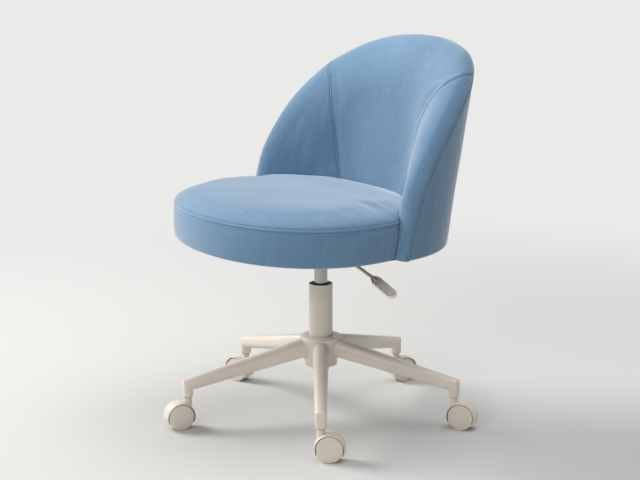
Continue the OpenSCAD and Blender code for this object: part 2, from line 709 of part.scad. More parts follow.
// Rows of the cushion, from under the board to the crown: height and inset of the
// cover's outside, and how far its inside lies below that and further in
hem_rows = [[seat_low, tuck, -cloth_t, 0], [seat_low, fold, -cloth_t, 0], [seat_low + 3, 4, 0, cloth_t]];
body_rows = [
    [foam_z, 0.3, 0, cloth_t], [foam_z + band * 0.4, -1.5, 0, cloth_t], [foam_z + band * 0.8, -1, 0, cloth_t],
    [seam_z, 0, 0, cloth_t], [seam_z + crown * 0.3, 4, cloth_t, cloth_t], [seam_z + crown * 0.6, 16, cloth_t, cloth_t],
    [seam_z + crown * 0.8, 40, cloth_t, 0], [seam_z + crown * 0.93, 85, cloth_t, 0], [seam_z + crown, 150, cloth_t, 0]];
function inside_ring(q) = seat_ring(q[0] - q[2], q[1], q[3]);

module seat_cover() {
    rows = concat(hem_rows, body_rows);
    color(velvet) difference() {
        loft(concat([for (q = flip(rows)) seat_ring(q[0], q[1])], [for (q = rows) inside_ring(q)]));
        foot_slots();
    }
}

module seat_foam() {
    color(foam_yellow) loft([for (q = flip(body_rows)) inside_ring(q)]);
}

head_r = 6;
head_h = 2;
plate_head_h = 3;
nut_flange_r = 9;
nut_flange_t = 1.2;
nut_r = 4;

module seat_board() {
    outline = [for (p = seat_ring(board_z, fold, cloth_t)) [p[0], p[1]]];
    color(plywood) difference() {
        translate([0, 0, board_z]) linear_extrude(board_t) polygon(outline);
        foot_slots();
        for (p = concat(bolt_spots(), frame_bolt_spots())) translate([p[0], p[1], 0]) {
            translate([0, 0, board_z - 1]) cylinder(r = nut_r, h = board_t + 2);
            translate([0, 0, foam_z - nut_flange_t]) cylinder(r = nut_flange_r, h = 2);
        }
    }
}

module tee_nuts() {
    color(bare_steel) for (p = concat(bolt_spots(), frame_bolt_spots())) translate([p[0], p[1], 0]) {
        translate([0, 0, foam_z - nut_flange_t]) ring(nut_flange_r, bolt_r, nut_flange_t);
        translate([0, 0, board_z + frame_foot_t + 0.5]) ring(nut_r, bolt_r, board_t - frame_foot_t - 0.5 - nut_flange_t);
    }
}

module frame_bolts() {
    color(bare_steel) {
        for (p = bolt_spots()) translate([p[0], p[1], 0]) {
            translate([0, 0, plate_top - plate_t - plate_head_h]) cylinder(r = head_r, h = plate_head_h);
            translate([0, 0, plate_top - plate_t]) cylinder(r = bolt_r, h = foam_z - 1 - plate_top + plate_t);
        }
        for (p = frame_bolt_spots()) translate([p[0], p[1], 0]) {
            translate([0, 0, board_z]) cylinder(r = head_r, h = head_h);
            translate([0, 0, board_z + head_h]) cylinder(r = bolt_r, h = board_t - head_h - 1);
        }
    }
}

dust_t = 1;

module dust_cover() {
    front = [for (psi = [-4:-8:-180 + 4]) let (r = free_outline(psi > -90 ? psi : -180 - psi) - fold - 1)
        [r * cos(psi), r * sin(psi) - seat_line]];
    reach = wing_angle - 12;
    rear = [for (i = [0:20]) let (phi = mix(-reach, reach, i / 20))
        let (p = mid_surface(phi, board_z) + outward(phi, board_z) * roll_r * 0.35) [p[0], p[1]]];
    color(black_nylon) translate([0, 0, seat_low - dust_t]) difference() {
        linear_extrude(dust_t) polygon(concat(front, rear));
        translate([-plate_w / 2 - 1, -plate_l / 2 - 1, -1]) cube([plate_w + 2, plate_l + 2, dust_t + 2]);
        for (p = frame_bolt_spots()) translate([p[0], p[1], -1]) cylinder(r = head_r + bolt_clear, h = dust_t + 2);
    }
}

// ---------- castors ----------

axle_z = wheel_r;
hood_in = wheel_r + hood_gap;
hood_r = hood_in + hood_wall;
wheel_gap = 0.5;
half_castor = web_t / 2 + wheel_gap + wheel_w + 0.2;
boss_r = stem_d / 2 + 2.8;
stem_foot = axle_z + sqrt(pow(hood_in, 2) - pow(trail - stem_d / 2, 2)) + 0.8;

// Puts its children at castor k, with the stem on Z and the axle along Y behind it on +X
module at_castor(k) {
    at_arm(k) translate([stem_circle, 0, 0]) rotate([0, 0, castor_turns[k]]) children();
}

module along_axle(r, half) { translate([trail, half, axle_z]) rotate([90, 0, 0]) cylinder(r = r, h = 2 * half); }

module castor_hood(k) {
    color(castor_nylon) at_castor(k) difference() {
        union() {
            // crowned shell, as one turned section about the axle
            translate([trail, 0, axle_z]) rotate([90, 0, 0]) rotate_extrude() polygon(concat(
                [for (u = [-1:0.25:1]) [hood_r + hood_crown * (1 - u * u), u * (half_castor - 0.6)]],
                [[hood_r - 0.5, half_castor], [hood_in, half_castor], [hood_in, -half_castor], [hood_r - 0.5, -half_castor]]));
            along_axle(hood_in + slack, web_t / 2);
            difference() {
                translate([0, 0, axle_z + hood_r / 2]) cylinder(r = boss_r, h = boss_top - axle_z - hood_r / 2);
                along_axle(hood_in, 2 * half_castor);
            }
        }
        // open underneath
        translate([trail - 2 * hood_r, -2 * half_castor, hood_edge_z - 2 * hood_r])
            cube([4 * hood_r, 4 * half_castor, 2 * hood_r]);
        along_axle(axle_d / 2, web_t);
        translate([0, 0, stem_foot]) cylinder(r = stem_d / 2, h = boss_top);
    }
}

module castor_stem(k) {
    r = stem_d / 2;
    top = socket_z + stem_grip;
    color(bare_steel) at_castor(k) rotate_extrude() polygon([
        [0, stem_foot], [r, stem_foot], [r, boss_top], [r, top - 5],
        [r - 1, top - 4.2], [r - 1, top - 3.2], [r, top - 2.4], [r - 1.2, top], [0, top]]);
}

module castor_axle(k) {
    color(bare_steel) at_castor(k) along_axle(axle_d / 2, web_t / 2 + wheel_gap + wheel_w - 3);
}

// Turned section of a wheel: tread, domed face with a shallow raised disc, and a hollow inner side
wheel_outline = let (r = wheel_r, w = wheel_w, bore = axle_d / 2 + run_fit, hub = axle_d / 2 + 4) [
    [bore, 0], [hub, 0], [hub, w - 5], [r * 0.82, w - 4.5], [r * 0.86, 0.6], [r - 1, 0.6], [r, 1.6],
    [r, w - 2.2], [r - 0.5, w - 1.2], [r - 1.6, w - 0.7], [r * 0.79, w - 0.5], [r * 0.775, w],
    [r * 0.4, w + 0.15], [0, w + 0.2], [0, w - 2.6], [bore, w - 2.6]];

module castor_wheel(k, side) {
    color(castor_nylon) at_castor(k) translate([trail, side * (web_t / 2 + wheel_gap), axle_z])
        rotate([side > 0 ? -90 : 90, 0, 0]) rotate_extrude() polygon(wheel_outline);
}

// ---------- what is drawn ----------

module castor_piece(k, p) {
    if (p == "hood") castor_hood(k);
    if (p == "stem") castor_stem(k);
    if (p == "axle") castor_axle(k);
    if (p == "wheel_near") castor_wheel(k, -1);
    if (p == "wheel_far") castor_wheel(k, 1);
}

base_hub();
for (k = [1:arm_count]) base_arm(k - 1);
stem_sleeves();
column_tube();
guide_bush();
lower_race();
piston_rod();
ball_cage();
upper_race();
bump_stop();
rod_clip();
pressure_tube();
rod_guide();
taper_socket();
mechanism_plate();
lever_pin();
lever_rod();
lever_paddle();
release_pin();
seat_board();
tee_nuts();
frame_bolts();
seat_foam();
seat_cover();
dust_cover();
back_frame();
back_pad();
back_outer_pad();
back_inner_cover();
back_outer_cover();
for (k = [1:arm_count], p = ["hood", "stem", "axle", "wheel_near", "wheel_far"])
    castor_piece(k - 1, p);
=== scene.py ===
"""Looks of a swivel tub chair: a velvet seat and wrap-round back on a gas lift and a castor base."""

import json
import math

import bmesh
import bpy
import numpy as np
from mathutils import Matrix, Vector
from mathutils.kdtree import KDTree


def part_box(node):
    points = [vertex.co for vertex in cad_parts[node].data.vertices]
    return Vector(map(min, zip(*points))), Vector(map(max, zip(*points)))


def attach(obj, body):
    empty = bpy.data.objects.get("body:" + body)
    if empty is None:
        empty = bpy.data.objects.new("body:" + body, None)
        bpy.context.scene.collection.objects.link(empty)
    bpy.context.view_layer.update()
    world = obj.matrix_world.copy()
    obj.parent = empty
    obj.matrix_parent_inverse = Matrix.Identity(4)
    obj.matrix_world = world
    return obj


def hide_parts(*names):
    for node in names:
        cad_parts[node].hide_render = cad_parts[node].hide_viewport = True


bl_info = {
    "name": "Swivel tub chair",
    "version": (1, 0, 0),
    "blender": (4, 5, 0),
    "location": "3D View > Sidebar > Tub chair",
    "description": "Dresses the frame of a swivel tub chair with its upholstery, base and finishes",
    "category": "Object",
}

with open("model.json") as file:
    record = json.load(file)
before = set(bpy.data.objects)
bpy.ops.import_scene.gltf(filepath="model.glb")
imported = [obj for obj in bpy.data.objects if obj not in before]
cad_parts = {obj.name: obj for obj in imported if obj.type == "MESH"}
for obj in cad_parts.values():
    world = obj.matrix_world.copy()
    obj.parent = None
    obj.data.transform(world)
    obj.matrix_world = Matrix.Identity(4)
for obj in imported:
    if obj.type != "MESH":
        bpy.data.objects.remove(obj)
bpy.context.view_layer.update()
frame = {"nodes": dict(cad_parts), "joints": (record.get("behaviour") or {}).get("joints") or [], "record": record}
MM = 0.001


# ---------------------------------------------------------------- settings


class UpholsterySettings(bpy.types.PropertyGroup):
    """Sizes and colours of the seat and the back."""

    velvet: bpy.props.StringProperty(name="Velvet", description="Colour of the velvet's pile",
                                     default="#6C8CA9")
    sheen: bpy.props.FloatProperty(
        name="Sheen", description="Strength of the pile's pale sheen", default=0.85, min=0, max=1,
        subtype="FACTOR")
    seam_groove: bpy.props.FloatProperty(
        name="Seam groove", description="Depth of the crease on each side of a seam",
        default=1.5 * MM, min=0, max=4 * MM, subtype="DISTANCE", unit="LENGTH")
    crown: bpy.props.FloatProperty(
        name="Seat crown", description="How far the cushion rises over its seam",
        default=30 * MM, min=10 * MM, max=40 * MM, subtype="DISTANCE", unit="LENGTH")
    thread: bpy.props.StringProperty(name="Thread", description="Colour of the sewing thread",
                                     default="#A8C0D6")
    fullness: bpy.props.FloatProperty(
        name="Fullness", description="How far the cloth may swell between its seams",
        default=3 * MM, min=0, max=12 * MM, subtype="DISTANCE", unit="LENGTH")
    stitch_pitch: bpy.props.FloatProperty(
        name="Stitch pitch", description="Distance from one stitch to the next",
        default=4.2 * MM, min=2 * MM, max=8 * MM, subtype="DISTANCE", unit="LENGTH")


class BaseSettings(bpy.types.PropertyGroup):
    """Colours of the metal and nylon parts."""

    powder: bpy.props.StringProperty(name="Powder coat", description="Colour of the base and column",
                                     default="#E6DBCF")
    nylon: bpy.props.StringProperty(name="Castor nylon", description="Colour of hoods and wheels",
                                    default="#E4D9CC")


class StageSettings(bpy.types.PropertyGroup):
    """Floor and light round the chair."""

    floor: bpy.props.StringProperty(name="Floor", description="Colour of the floor", default="#D6D6D4")
    backdrop: bpy.props.StringProperty(name="Backdrop", description="Tone of the backdrop",
                                       default="#EAEAE9")
    key: bpy.props.FloatProperty(name="Key light", description="Power of the main soft light",
                                 default=250.0, min=0, unit="POWER")
    fill: bpy.props.FloatProperty(name="Fill light", description="Power of the soft light in front",
                                  default=30.0, min=0, unit="POWER")
    top: bpy.props.FloatProperty(name="Top light", description="Power of the soft light overhead",
                                 default=44.0, min=0, unit="POWER")
    room: bpy.props.FloatProperty(name="Room light", description="Strength of the light from all round",
                                  default=0.27, min=0)


# ---------------------------------------------------------------- small tools


def linear(text):
    """Linear RGBA from an sRGB hex value."""
    values = [int(text[i:i + 2], 16) / 255 for i in (1, 3, 5)]
    return [v / 12.92 if v <= 0.04045 else ((v + 0.055) / 1.055) ** 2.4 for v in values] + [1.0]


def shade(text, factor):
    """The same hex colour made lighter or darker, in linear light."""
    return [min(1.0, v * factor) for v in linear(text)[:3]] + [1.0]


def add(tree, kind, links=None, values=None, **settings):
    """Adds a shader node with its settings, socket values and links."""
    made = tree.nodes.new(kind)
    for name, value in settings.items():
        setattr(made, name, value)
    for name, value in (values or {}).items():
        made.inputs[name].default_value = value
    for name, source in (links or {}).items():
        tree.links.new(source, made.inputs[name])
    return made


def ramp(tree, source, stops):
    """Colour ramp over a factor, from (place, colour) stops."""
    made = add(tree, "ShaderNodeValToRGB", links={"Fac": source})
    while len(made.color_ramp.elements) < len(stops):
        made.color_ramp.elements.new(0.5)
    for element, (place, colour) in zip(made.color_ramp.elements, stops):
        element.position = place
        element.color = colour
    return made.outputs["Color"]


def new_material(name):
    """Empty material: itself, its tree, its Principled shader and the coordinates on the piece."""
    material = bpy.data.materials.new(name)
    material.use_nodes = True
    tree = material.node_tree
    tree.nodes.clear()
    shader = tree.nodes.new("ShaderNodeBsdfPrincipled")
    out = tree.nodes.new("ShaderNodeOutputMaterial")
    tree.links.new(shader.outputs["BSDF"], out.inputs["Surface"])
    return material, tree, shader, add(tree, "ShaderNodeTexCoord").outputs["Object"]


def noise(tree, place, scale, detail, **values):
    """Noise with a scale in waves per metre."""
    values = {"Scale": scale, "Detail": detail, **values}
    return add(tree, "ShaderNodeTexNoise", links={"Vector": place}, values=values).outputs["Fac"]


def drawn_out(tree, place, scale):
    """Coordinates with a scale of their own along each axis, in waves per metre, for strokes and grain."""
    return add(tree, "ShaderNodeMapping", links={"Vector": place},
               values={"Scale": scale}).outputs["Vector"]


def ranged(tree, source, **values):
    """A value carried from one range to another."""
    values = {name.replace("_", " "): value for name, value in values.items()}
    return add(tree, "ShaderNodeMapRange", links={"Value": source}, values=values).outputs["Result"]


def scaled(tree, colour, factor):
    """A colour made darker or lighter by a factor."""
    return add(tree, "ShaderNodeVectorMath", operation="SCALE",
               links={0: colour, "Scale": factor}).outputs[0]


def coloured(tree, shader, colour, **values):
    """Gives a shader its colour, from a socket, and its other values."""
    tree.links.new(colour, shader.inputs["Base Color"])
    for name, value in values.items():
        shader.inputs[name.replace("_", " ")].default_value = value


def relief(tree, shader, height, strength, distance):
    """Fine relief of a surface, from the height of its pattern."""
    bump = add(tree, "ShaderNodeBump", links={"Height": height},
               values={"Strength": strength, "Distance": distance})
    tree.links.new(bump.outputs["Normal"], shader.inputs["Normal"])


def dress(obj, material):
    obj.data.materials.clear()
    obj.data.materials.append(material)


def mesh_object(name, points, faces):
    mesh = bpy.data.meshes.new(name)
    mesh.from_pydata([tuple(p) for p in points], [], [tuple(f) for f in faces])
    mesh.update()
    obj = bpy.data.objects.new(name, mesh)
    bpy.context.scene.collection.objects.link(obj)
    return obj


def smooth(obj):
    for polygon in obj.data.polygons:
        polygon.use_smooth = True


# ---------------------------------------------------------------- finishes


def finish(name, make):
    """The finish of that name, made the first time that it is asked for."""
    return bpy.data.materials.get(name) or make()


def velvet_finish():
    """Woven polyester velvet: a short pile that is dark when looked into and pale at grazing angles."""
    settings = bpy.context.scene.chair_upholstery
    material, tree, shader, place = new_material("woven_velvet")
    # Broad areas where the pile lies another way, and fine strokes along and across the way it was brushed
    patches = noise(tree, place, 4.5, 1.0, Roughness=0.4)
    lengthwise = noise(tree, drawn_out(tree, place, (120.0, 120.0, 11.0)), 1.0, 2.0)
    crosswise = noise(tree, drawn_out(tree, place, (13.0, 150.0, 150.0)), 1.0, 2.0)
    # Tufts are 0.3 mm apart in the cloth and drawn 0.8 mm apart so that they show
    pile = noise(tree, place, 1250.0, 2.0)
    nap = patches
    for source, share in ((lengthwise, 0.6), (crosswise, 0.3), (pile, 0.4)):
        nap = add(tree, "ShaderNodeMath", operation="MULTIPLY_ADD", links={0: source, 2: nap},
                  values={1: share}).outputs[0]
    base = settings.velvet
    cloth = ramp(tree, ranged(tree, nap, From_Min=0.75, From_Max=1.55),
                 [(0.0, shade(base, 0.84)), (0.5, linear(base)), (1.0, shade(base, 1.14))])
    # Painted shade and highlight of the seams: the cloth's colour is made darker where the value is above 0, in
    # the creases where shade falls, and lighter where it is below 0, on the seat's welt
    painted_shade_and_highlight = add(tree, "ShaderNodeAttribute", attribute_name="painted_shade_and_highlight", attribute_type="GEOMETRY")
    depth = add(tree, "ShaderNodeMath", operation="MULTIPLY_ADD", links={0: painted_shade_and_highlight.outputs["Fac"]},
                values={1: -0.42, 2: 1.0})
    coloured(tree, shader, scaled(tree, cloth, depth.outputs[0]), Roughness=0.9, Specular_IOR_Level=0.15,
             Sheen_Weight=settings.sheen, Sheen_Roughness=0.38, Sheen_Tint=linear("#EFEEEC"))
    relief(tree, shader, pile, 0.15, 0.4 * MM)
    return material


def coated_finish(name, colour, roughness):
    """Polyester powder coat or paint on steel: satin, with a faint orange-peel texture."""
    material, tree, shader, place = new_material(name)
    # Orange peel has waves of about 2 mm, and the coat is a little thinner and darker in places
    peel = noise(tree, place, 420.0, 2.0)
    cloud = noise(tree, place, 14.0, 2.0)
    coloured(tree, shader, ramp(tree, cloud, [(0.35, shade(colour, 0.95)), (0.65, shade(colour, 1.03))]))
    tree.links.new(ranged(tree, peel, To_Min=roughness * 0.9, To_Max=roughness * 1.15),
                   shader.inputs["Roughness"])
    relief(tree, shader, peel, 0.08, 0.1 * MM)
    return material


def powder_finish():
    """The base's warm white powder coat."""
    return coated_finish("powder_coated_steel", bpy.context.scene.chair_base.powder, 0.3)


def plywood_finish():
    """Raw birch plywood: long pale grain on its faces and dark glue lines between plies at its edge."""
    material, tree, shader, place = new_material("raw_birch_plywood")
    grain = noise(tree, drawn_out(tree, place, (9.0, 160.0, 160.0)), 1.0, 5.0, Distortion=0.6)
    height = add(tree, "ShaderNodeSeparateXYZ", links={"Vector": place}).outputs["Z"]
    # There is a glue line every 3 mm, and height is folded to the distance from the nearest
    plies = add(tree, "ShaderNodeMath", operation="PINGPONG", links={0: height},
                values={1: 1.5 * MM}).outputs[0]
    glue_line = ranged(tree, plies, From_Min=0.0, From_Max=0.3 * MM, To_Min=0.6, To_Max=1.0)
    wood = ramp(tree, grain, [(0.3, linear("#B8996C")), (0.7, linear("#D6BD94"))])
    coloured(tree, shader, scaled(tree, wood, glue_line), Roughness=0.65)
    relief(tree, shader, grain, 0.1, 0.2 * MM)
    return material


def felted_finish():
    """Black spun-bonded polypropylene: matt, with fibres that catch a little light and pressed dimples."""
    material, tree, shader, place = new_material("spun_bonded_dust_cloth")
    fibres = noise(tree, place, 700.0, 4.0, Distortion=1.5)
    # Dimples are pressed in 2.5 mm apart
    dimples = add(tree, "ShaderNodeTexVoronoi", links={"Vector": place},
                  values={"Scale": 400.0}).outputs["Distance"]
    cloth = ramp(tree, fibres, [(0.4, linear("#151516")), (0.7, linear("#2B2B2D"))])
    coloured(tree, shader, cloth, Roughness=0.85)
    relief(tree, shader, dimples, 0.3, 0.3 * MM)
    return material


def thread_finish():
    """Bonded polyester thread: a twisted yarn with a soft shine, a shade paler than the cloth."""
    material, tree, shader, place = new_material("bonded_polyester_thread")
    base = bpy.context.scene.chair_upholstery.thread
    twist = noise(tree, place, 2600.0, 1.0)
    yarn = ramp(tree, twist, [(0.35, shade(base, 0.8)), (0.65, shade(base, 1.1))])
    coloured(tree, shader, yarn, Roughness=0.5)
    return material


def nylon_finish(name, colour, roughness):
    """Injection-moulded nylon: even colour, fine spark-eroded grain."""
    material, tree, shader, place = new_material(name)
    grain = noise(tree, place, 1600.0, 2.0)
    cloud = noise(tree, place, 22.0, 2.0)
    resin = ramp(tree, cloud, [(0.3, shade(colour, 0.96)), (0.7, shade(colour, 1.03))])
    coloured(tree, shader, resin, Roughness=roughness)
    relief(tree, shader, grain, 0.05, 0.1 * MM)
    return material


def cream_nylon_finish():
    """The castors' cream nylon, with the low shine of a smooth mould."""
    return nylon_finish("moulded_cream_nylon", bpy.context.scene.chair_base.nylon, 0.34)


def metal_finish(name, colour, roughness, scratch):
    """Bare or plated metal: fine turning marks round the lift's axis break up its reflections."""
    material, tree, shader, place = new_material(name)
    marks = noise(tree, drawn_out(tree, place, (40.0, 40.0, 900.0)), 1.0, 3.0)
    metal = ramp(tree, marks, [(0.3, shade(colour, 0.9)), (0.7, shade(colour, 1.05))])
    coloured(tree, shader, metal, Metallic=1.0)
    tree.links.new(ranged(tree, marks, To_Min=roughness * 0.8, To_Max=roughness * 1.25),
                   shader.inputs["Roughness"])
    relief(tree, shader, marks, scratch, 0.05 * MM)
    return material


# ---------------------------------------------------------------- shape of the upholstery

# Sizes in metres and angles in degrees, as the frame's soft parts have them
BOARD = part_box("seat_board")[0][2]
BOARD_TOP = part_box("seat_board")[1][2]
SEAT_HALF = 280.7 * MM
SEAT_REACH = 216.9 * MM
SEAT_REAR = 240 * MM
SEAT_LINE = 73.4 * MM
SEAT_POWER = 2.15
SEAM = 460 * MM
WALL_GAP = -1 * MM
BACK_HALF = 272 * MM
BACK_DEPTH = 260 * MM
BACK_LINE = 59.6 * MM
BACK_POWER = 2.467
BACK_FOOT = BOARD - MM
LEAN = math.tan(math.radians(10.45))
ROLL_TOP = 768.8 * MM
ROLL = 26.2 * MM
PAD = 71 * MM
SWELL = 120 * MM
WING = 79.2
ARCH_POWER = 1.97
RIM_POWER = 2.42
FAN_POWER = 1.84
RIM_END = 89.5
FRAME_HALF = 4 * MM
FRAME_RISE = ROLL - 14 * MM
# Columns of the back run from -1 to 1 between the wings' ends
SEAM_COLUMN = 0.455
WING_COLUMN = 0.94
COLUMN_WIDTH = 0.52
DRIFT = 0.123
DRIFT_REACH = 150 * MM
# Distance of the two stitched lines from the seam between them
TWIN = 2.8 * MM
# Widths of the marks that sewing leaves: a stitched crease, a seam's line and the hollow it pulls in; the first
# two also set the width of the shade painted along seams
CREASE = 1.1 * MM
SEAM_LINE = 1.2 * MM
PULL = 9 * MM
# The cloth is even beside the rim's seam, and its stitched line lies a little in from it
FLAT_RIM = 0.03
RIM_STITCH = 6 * MM
RIM_STITCH_ROW = -10
SEAT_STITCH = 10 * MM


def power(value, exponent):
    return np.sign(value) * np.abs(value) ** exponent


def mixed(a, b, share):
    return a + (b - a) * share


def unit(vectors):
    return vectors / np.maximum(np.linalg.norm(vectors, axis=-1, keepdims=True), 1e-12)


def stacked(x, y, z):
    return np.stack(np.broadcast_arrays(x, y, z), -1)


def middle(phi, z):
    """Middle surface of the back at an angle round the sitter and a height."""
    turn = np.radians(phi)
    y = -BACK_LINE + BACK_DEPTH * power(np.cos(turn), 2 / BACK_POWER) + (z - BACK_FOOT) * LEAN
    return stacked(BACK_HALF * power(np.sin(turn), 2 / BACK_POWER), y, z)


def outward(phi, z):
    step = middle(phi + 0.5, z) - middle(phi - 0.5, z)
    return unit(stacked(-step[..., 1], step[..., 0], 0.0))


def rim_angle(a):
    return WING * power(np.sin(np.radians(a)), 2 / ARCH_POWER)


def rim_height(a):
    return BACK_FOOT + (ROLL_TOP - BACK_FOOT) * np.maximum(0, np.cos(np.radians(a))) ** (2 / RIM_POWER)


def rim(a):
    return middle(rim_angle(a), rim_height(a))


def rim_frame(a):
    """Points of the rim with the directions out of the chair and up over the edge."""
    out = outward(rim_angle(a), rim_height(a))
    return rim(a), out, unit(np.cross(rim(a + 0.4) - rim(a - 0.4), out))


RIM_LINE = rim(np.linspace(-90, 90, 1400))


def rim_distance(points):
    flat = points.reshape(-1, 3)
    found = np.empty(len(flat))
    for i in range(0, len(flat), 4000):
        found[i:i + 4000] = np.linalg.norm(flat[i:i + 4000, None] - RIM_LINE[None], axis=2).min(1)
    return found.reshape(points.shape[:-1])


def eased(value):
    share = np.clip(value, 0, 1)
    return share * share * (3 - 2 * share)


def thickness(columns):
    """Thickness of the pad, which thins towards the feet of the wings."""
    return PAD * (1 - 0.44 * eased((np.abs(columns) - 0.62) / 0.28))


def rise(columns):
    """How far the rolled edge stands over its rim, less at the feet of the wings."""
    return ROLL * (1 - 0.42 * eased((np.abs(columns) - 0.8) / 0.18))


def pad_depth(distance, columns):
    share = np.minimum(1, (distance + rise(columns)) / SWELL)
    return thickness(columns) * np.sqrt(1 - (1 - share) ** 2)


def on_columns(columns, u):
    a = RIM_END * columns[:, None]
    return mixed(WING * power(columns[:, None], FAN_POWER), rim_angle(a), u), mixed(BOARD, rim_height(a), u)


def inner_paths(columns):
    """Fine paths up the sitter's side of the back and over its rolled edge to the outer seam."""
    phi, z = on_columns(columns, np.linspace(0, 1, 90, endpoint=False)[None])
    face = middle(phi, z)
    face = face - outward(phi, z) * pad_depth(rim_distance(face), columns[:, None])[..., None]
    at, out, up = (v[:, None] for v in rim_frame(RIM_END * columns))
    high, deep = rise(columns)[:, None, None], thickness(columns)[:, None, None]
    b = np.linspace(1, 0, 40, endpoint=False)[None, :, None] * np.arccos(1 - high / SWELL)
    front = at + up * (high - SWELL * (1 - np.cos(b))) - out * deep * np.sin(b)
    g = np.linspace(0, math.pi / 2, 40)[None, :, None]
    return np.concatenate([face, front, at + up * np.cos(g) * high + out * np.sin(g) * ROLL], 1)


def outer_paths(columns, corner=8 * MM):
    """Fine paths from the outer seam down the outside of the back and in round its lower edge."""
    phi, z = on_columns(columns, np.linspace(1, 0, 140)[None])
    short = np.clip((corner - (z - BOARD)) / corner, 0, 1)
    off = ROLL - corner * (1 - np.sqrt(1 - np.minimum(short, 1) ** 2))
    return middle(phi, z) + outward(phi, z) * off[..., None]


def running(points, axis=0):
    """Distance of each point from the first along a line, or along the lines of a grid."""
    steps = np.linalg.norm(np.diff(points, axis=axis), axis=-1)
    return np.insert(np.cumsum(steps, axis), 0, 0, axis)


def sampled(place, run, line):
    """Points of a line at one or more places of its run."""
    return np.stack([np.interp(place, run, line[:, k]) for k in range(3)], -1)


def along(paths, places):
    """Points at the given distances along each path."""
    runs = running(paths, 1)
    return np.array([sampled(*each) for each in zip(places, runs, paths)])


def lengths(paths):
    return np.linalg.norm(np.diff(paths, axis=1), axis=2).sum(1)


def grid_normals(grid):
    return unit(np.cross(np.gradient(grid, axis=0), np.gradient(grid, axis=1)))


def fade(distance, width):
    """1 on a line, and nearly 0 at two widths from it."""
    return np.exp(-(distance / width) ** 2)


def groove(distance, depth):
    """Two creases with a ridge of cloth between them, as a twin-stitched seam pulls in."""
    return -depth * fade(np.abs(distance) - TWIN, SEAM_LINE) - 0.45 * depth * fade(distance, PULL)


def puckers(run, pitch, distance):
    """Small waves that a seam's pull leaves in the cloth on both sides of it."""
    return np.sin(run * 2 * math.pi / pitch) * fade(np.abs(distance) - PULL, 6 * MM)


def facing(normals, probe, direction):
    """The normals, all turned round if the one at the probe looks away from a direction."""
    return -normals if normals[probe] @ np.array(direction) < 0 else normals


def read_off(place, runs, lines):
    """A point of each line, where its run reaches a place."""
    return np.array([sampled(place, run, line) for run, line in zip(runs, lines)])


def seam_columns(fine):
    """Columns of the back, close together where a seam runs up and at the wings' ends."""
    beside = np.array([0, 0.7, 1.4, 2.1, 2.8, 3.5, 4.2, 5.2, 6.6, 8.6, 11.5, 16]) * MM / COLUMN_WIDTH
    beside = np.concatenate([-beside, beside])
    ends = 1 - np.array([0, 0.0015, 0.0035, 0.006, 0.009, 0.013, 0.018, 0.024, 0.032, 0.043, 0.057])
    every = np.linspace(-WING_COLUMN, WING_COLUMN, fine)
    every = every[np.abs(np.abs(every) - SEAM_COLUMN) > 0.036]
    every = np.concatenate([every, ends, -ends, SEAM_COLUMN + beside, -SEAM_COLUMN - beside])
    return np.unique(np.round(every, 6))


def ended(rings, drop=5 * MM):
    """Adds rings past both ends of a band of rings so that its ends are softly rounded."""
    more = []
    for ring in (rings[0], rings[-1]):
        centre = ring.mean(0)
        for t in np.radians([25, 50, 70, 88]):
            past = centre + (ring - centre) * (1 - 0.3 * (1 - math.cos(t)))
            past = past - np.array([0, 0, drop * math.sin(t)])
            past[:, 2] = np.maximum(past[:, 2], BOARD - 2.2 * MM)
            more.append(past)
    return np.concatenate([more[3::-1], rings, more[4:]])


def closed_form(name, rings, painted_light_values=None):
    """Closed mesh through rings of points, with both ends capped; values along the seams paint shade into the
    cloth's colour where above 0, and a highlight where below.
    """
    count, around = rings.shape[:2]
    a = (np.arange(count - 1)[:, None] * around + np.arange(around)[None]).ravel()
    b = (np.arange(count - 1)[:, None] * around + (np.arange(around)[None] + 1) % around).ravel()
    quads = np.stack([a, b, b + around, a + around], 1).tolist()
    first, last = count * around, count * around + 1
    ends = [(first, (j + 1) % around, j) for j in range(around)]
    ends += [(last, (count - 1) * around + j, (count - 1) * around + (j + 1) % around)
             for j in range(around)]
    points = np.concatenate([rings.reshape(-1, 3), rings[:1].mean(1), rings[-1:].mean(1)])
    made = mesh_object(name, points, quads + ends)
    mesh = bmesh.new()
    mesh.from_mesh(made.data)
    if mesh.calc_volume(signed=True) < 0:
        bmesh.ops.reverse_faces(mesh, faces=mesh.faces)
    mesh.to_mesh(made.data)
    mesh.free()
    if painted_light_values is not None:
        layer = made.data.attributes.new("painted_shade_and_highlight", "FLOAT", "POINT")
        layer.data.foreach_set("value", np.concatenate([painted_light_values.ravel(), [0, 0]]).astype(np.float32))
    smooth(made)
    return made


def corners(obj):
    return np.array([v.co for v in obj.data.vertices])


def tree_of(points):
    """Tree for finding the nearest of some points."""
    tree = KDTree(len(points))
    for i, point in enumerate(points):
        tree.insert(point, i)
    tree.balance()
    return tree


# The cloth is held by its pins, less and less from one distance to another
PIN_REACH = 14 * MM
PIN_FADE = 8 * MM
CLOTH_FRAMES = 20
NEIGHBOURS = 9


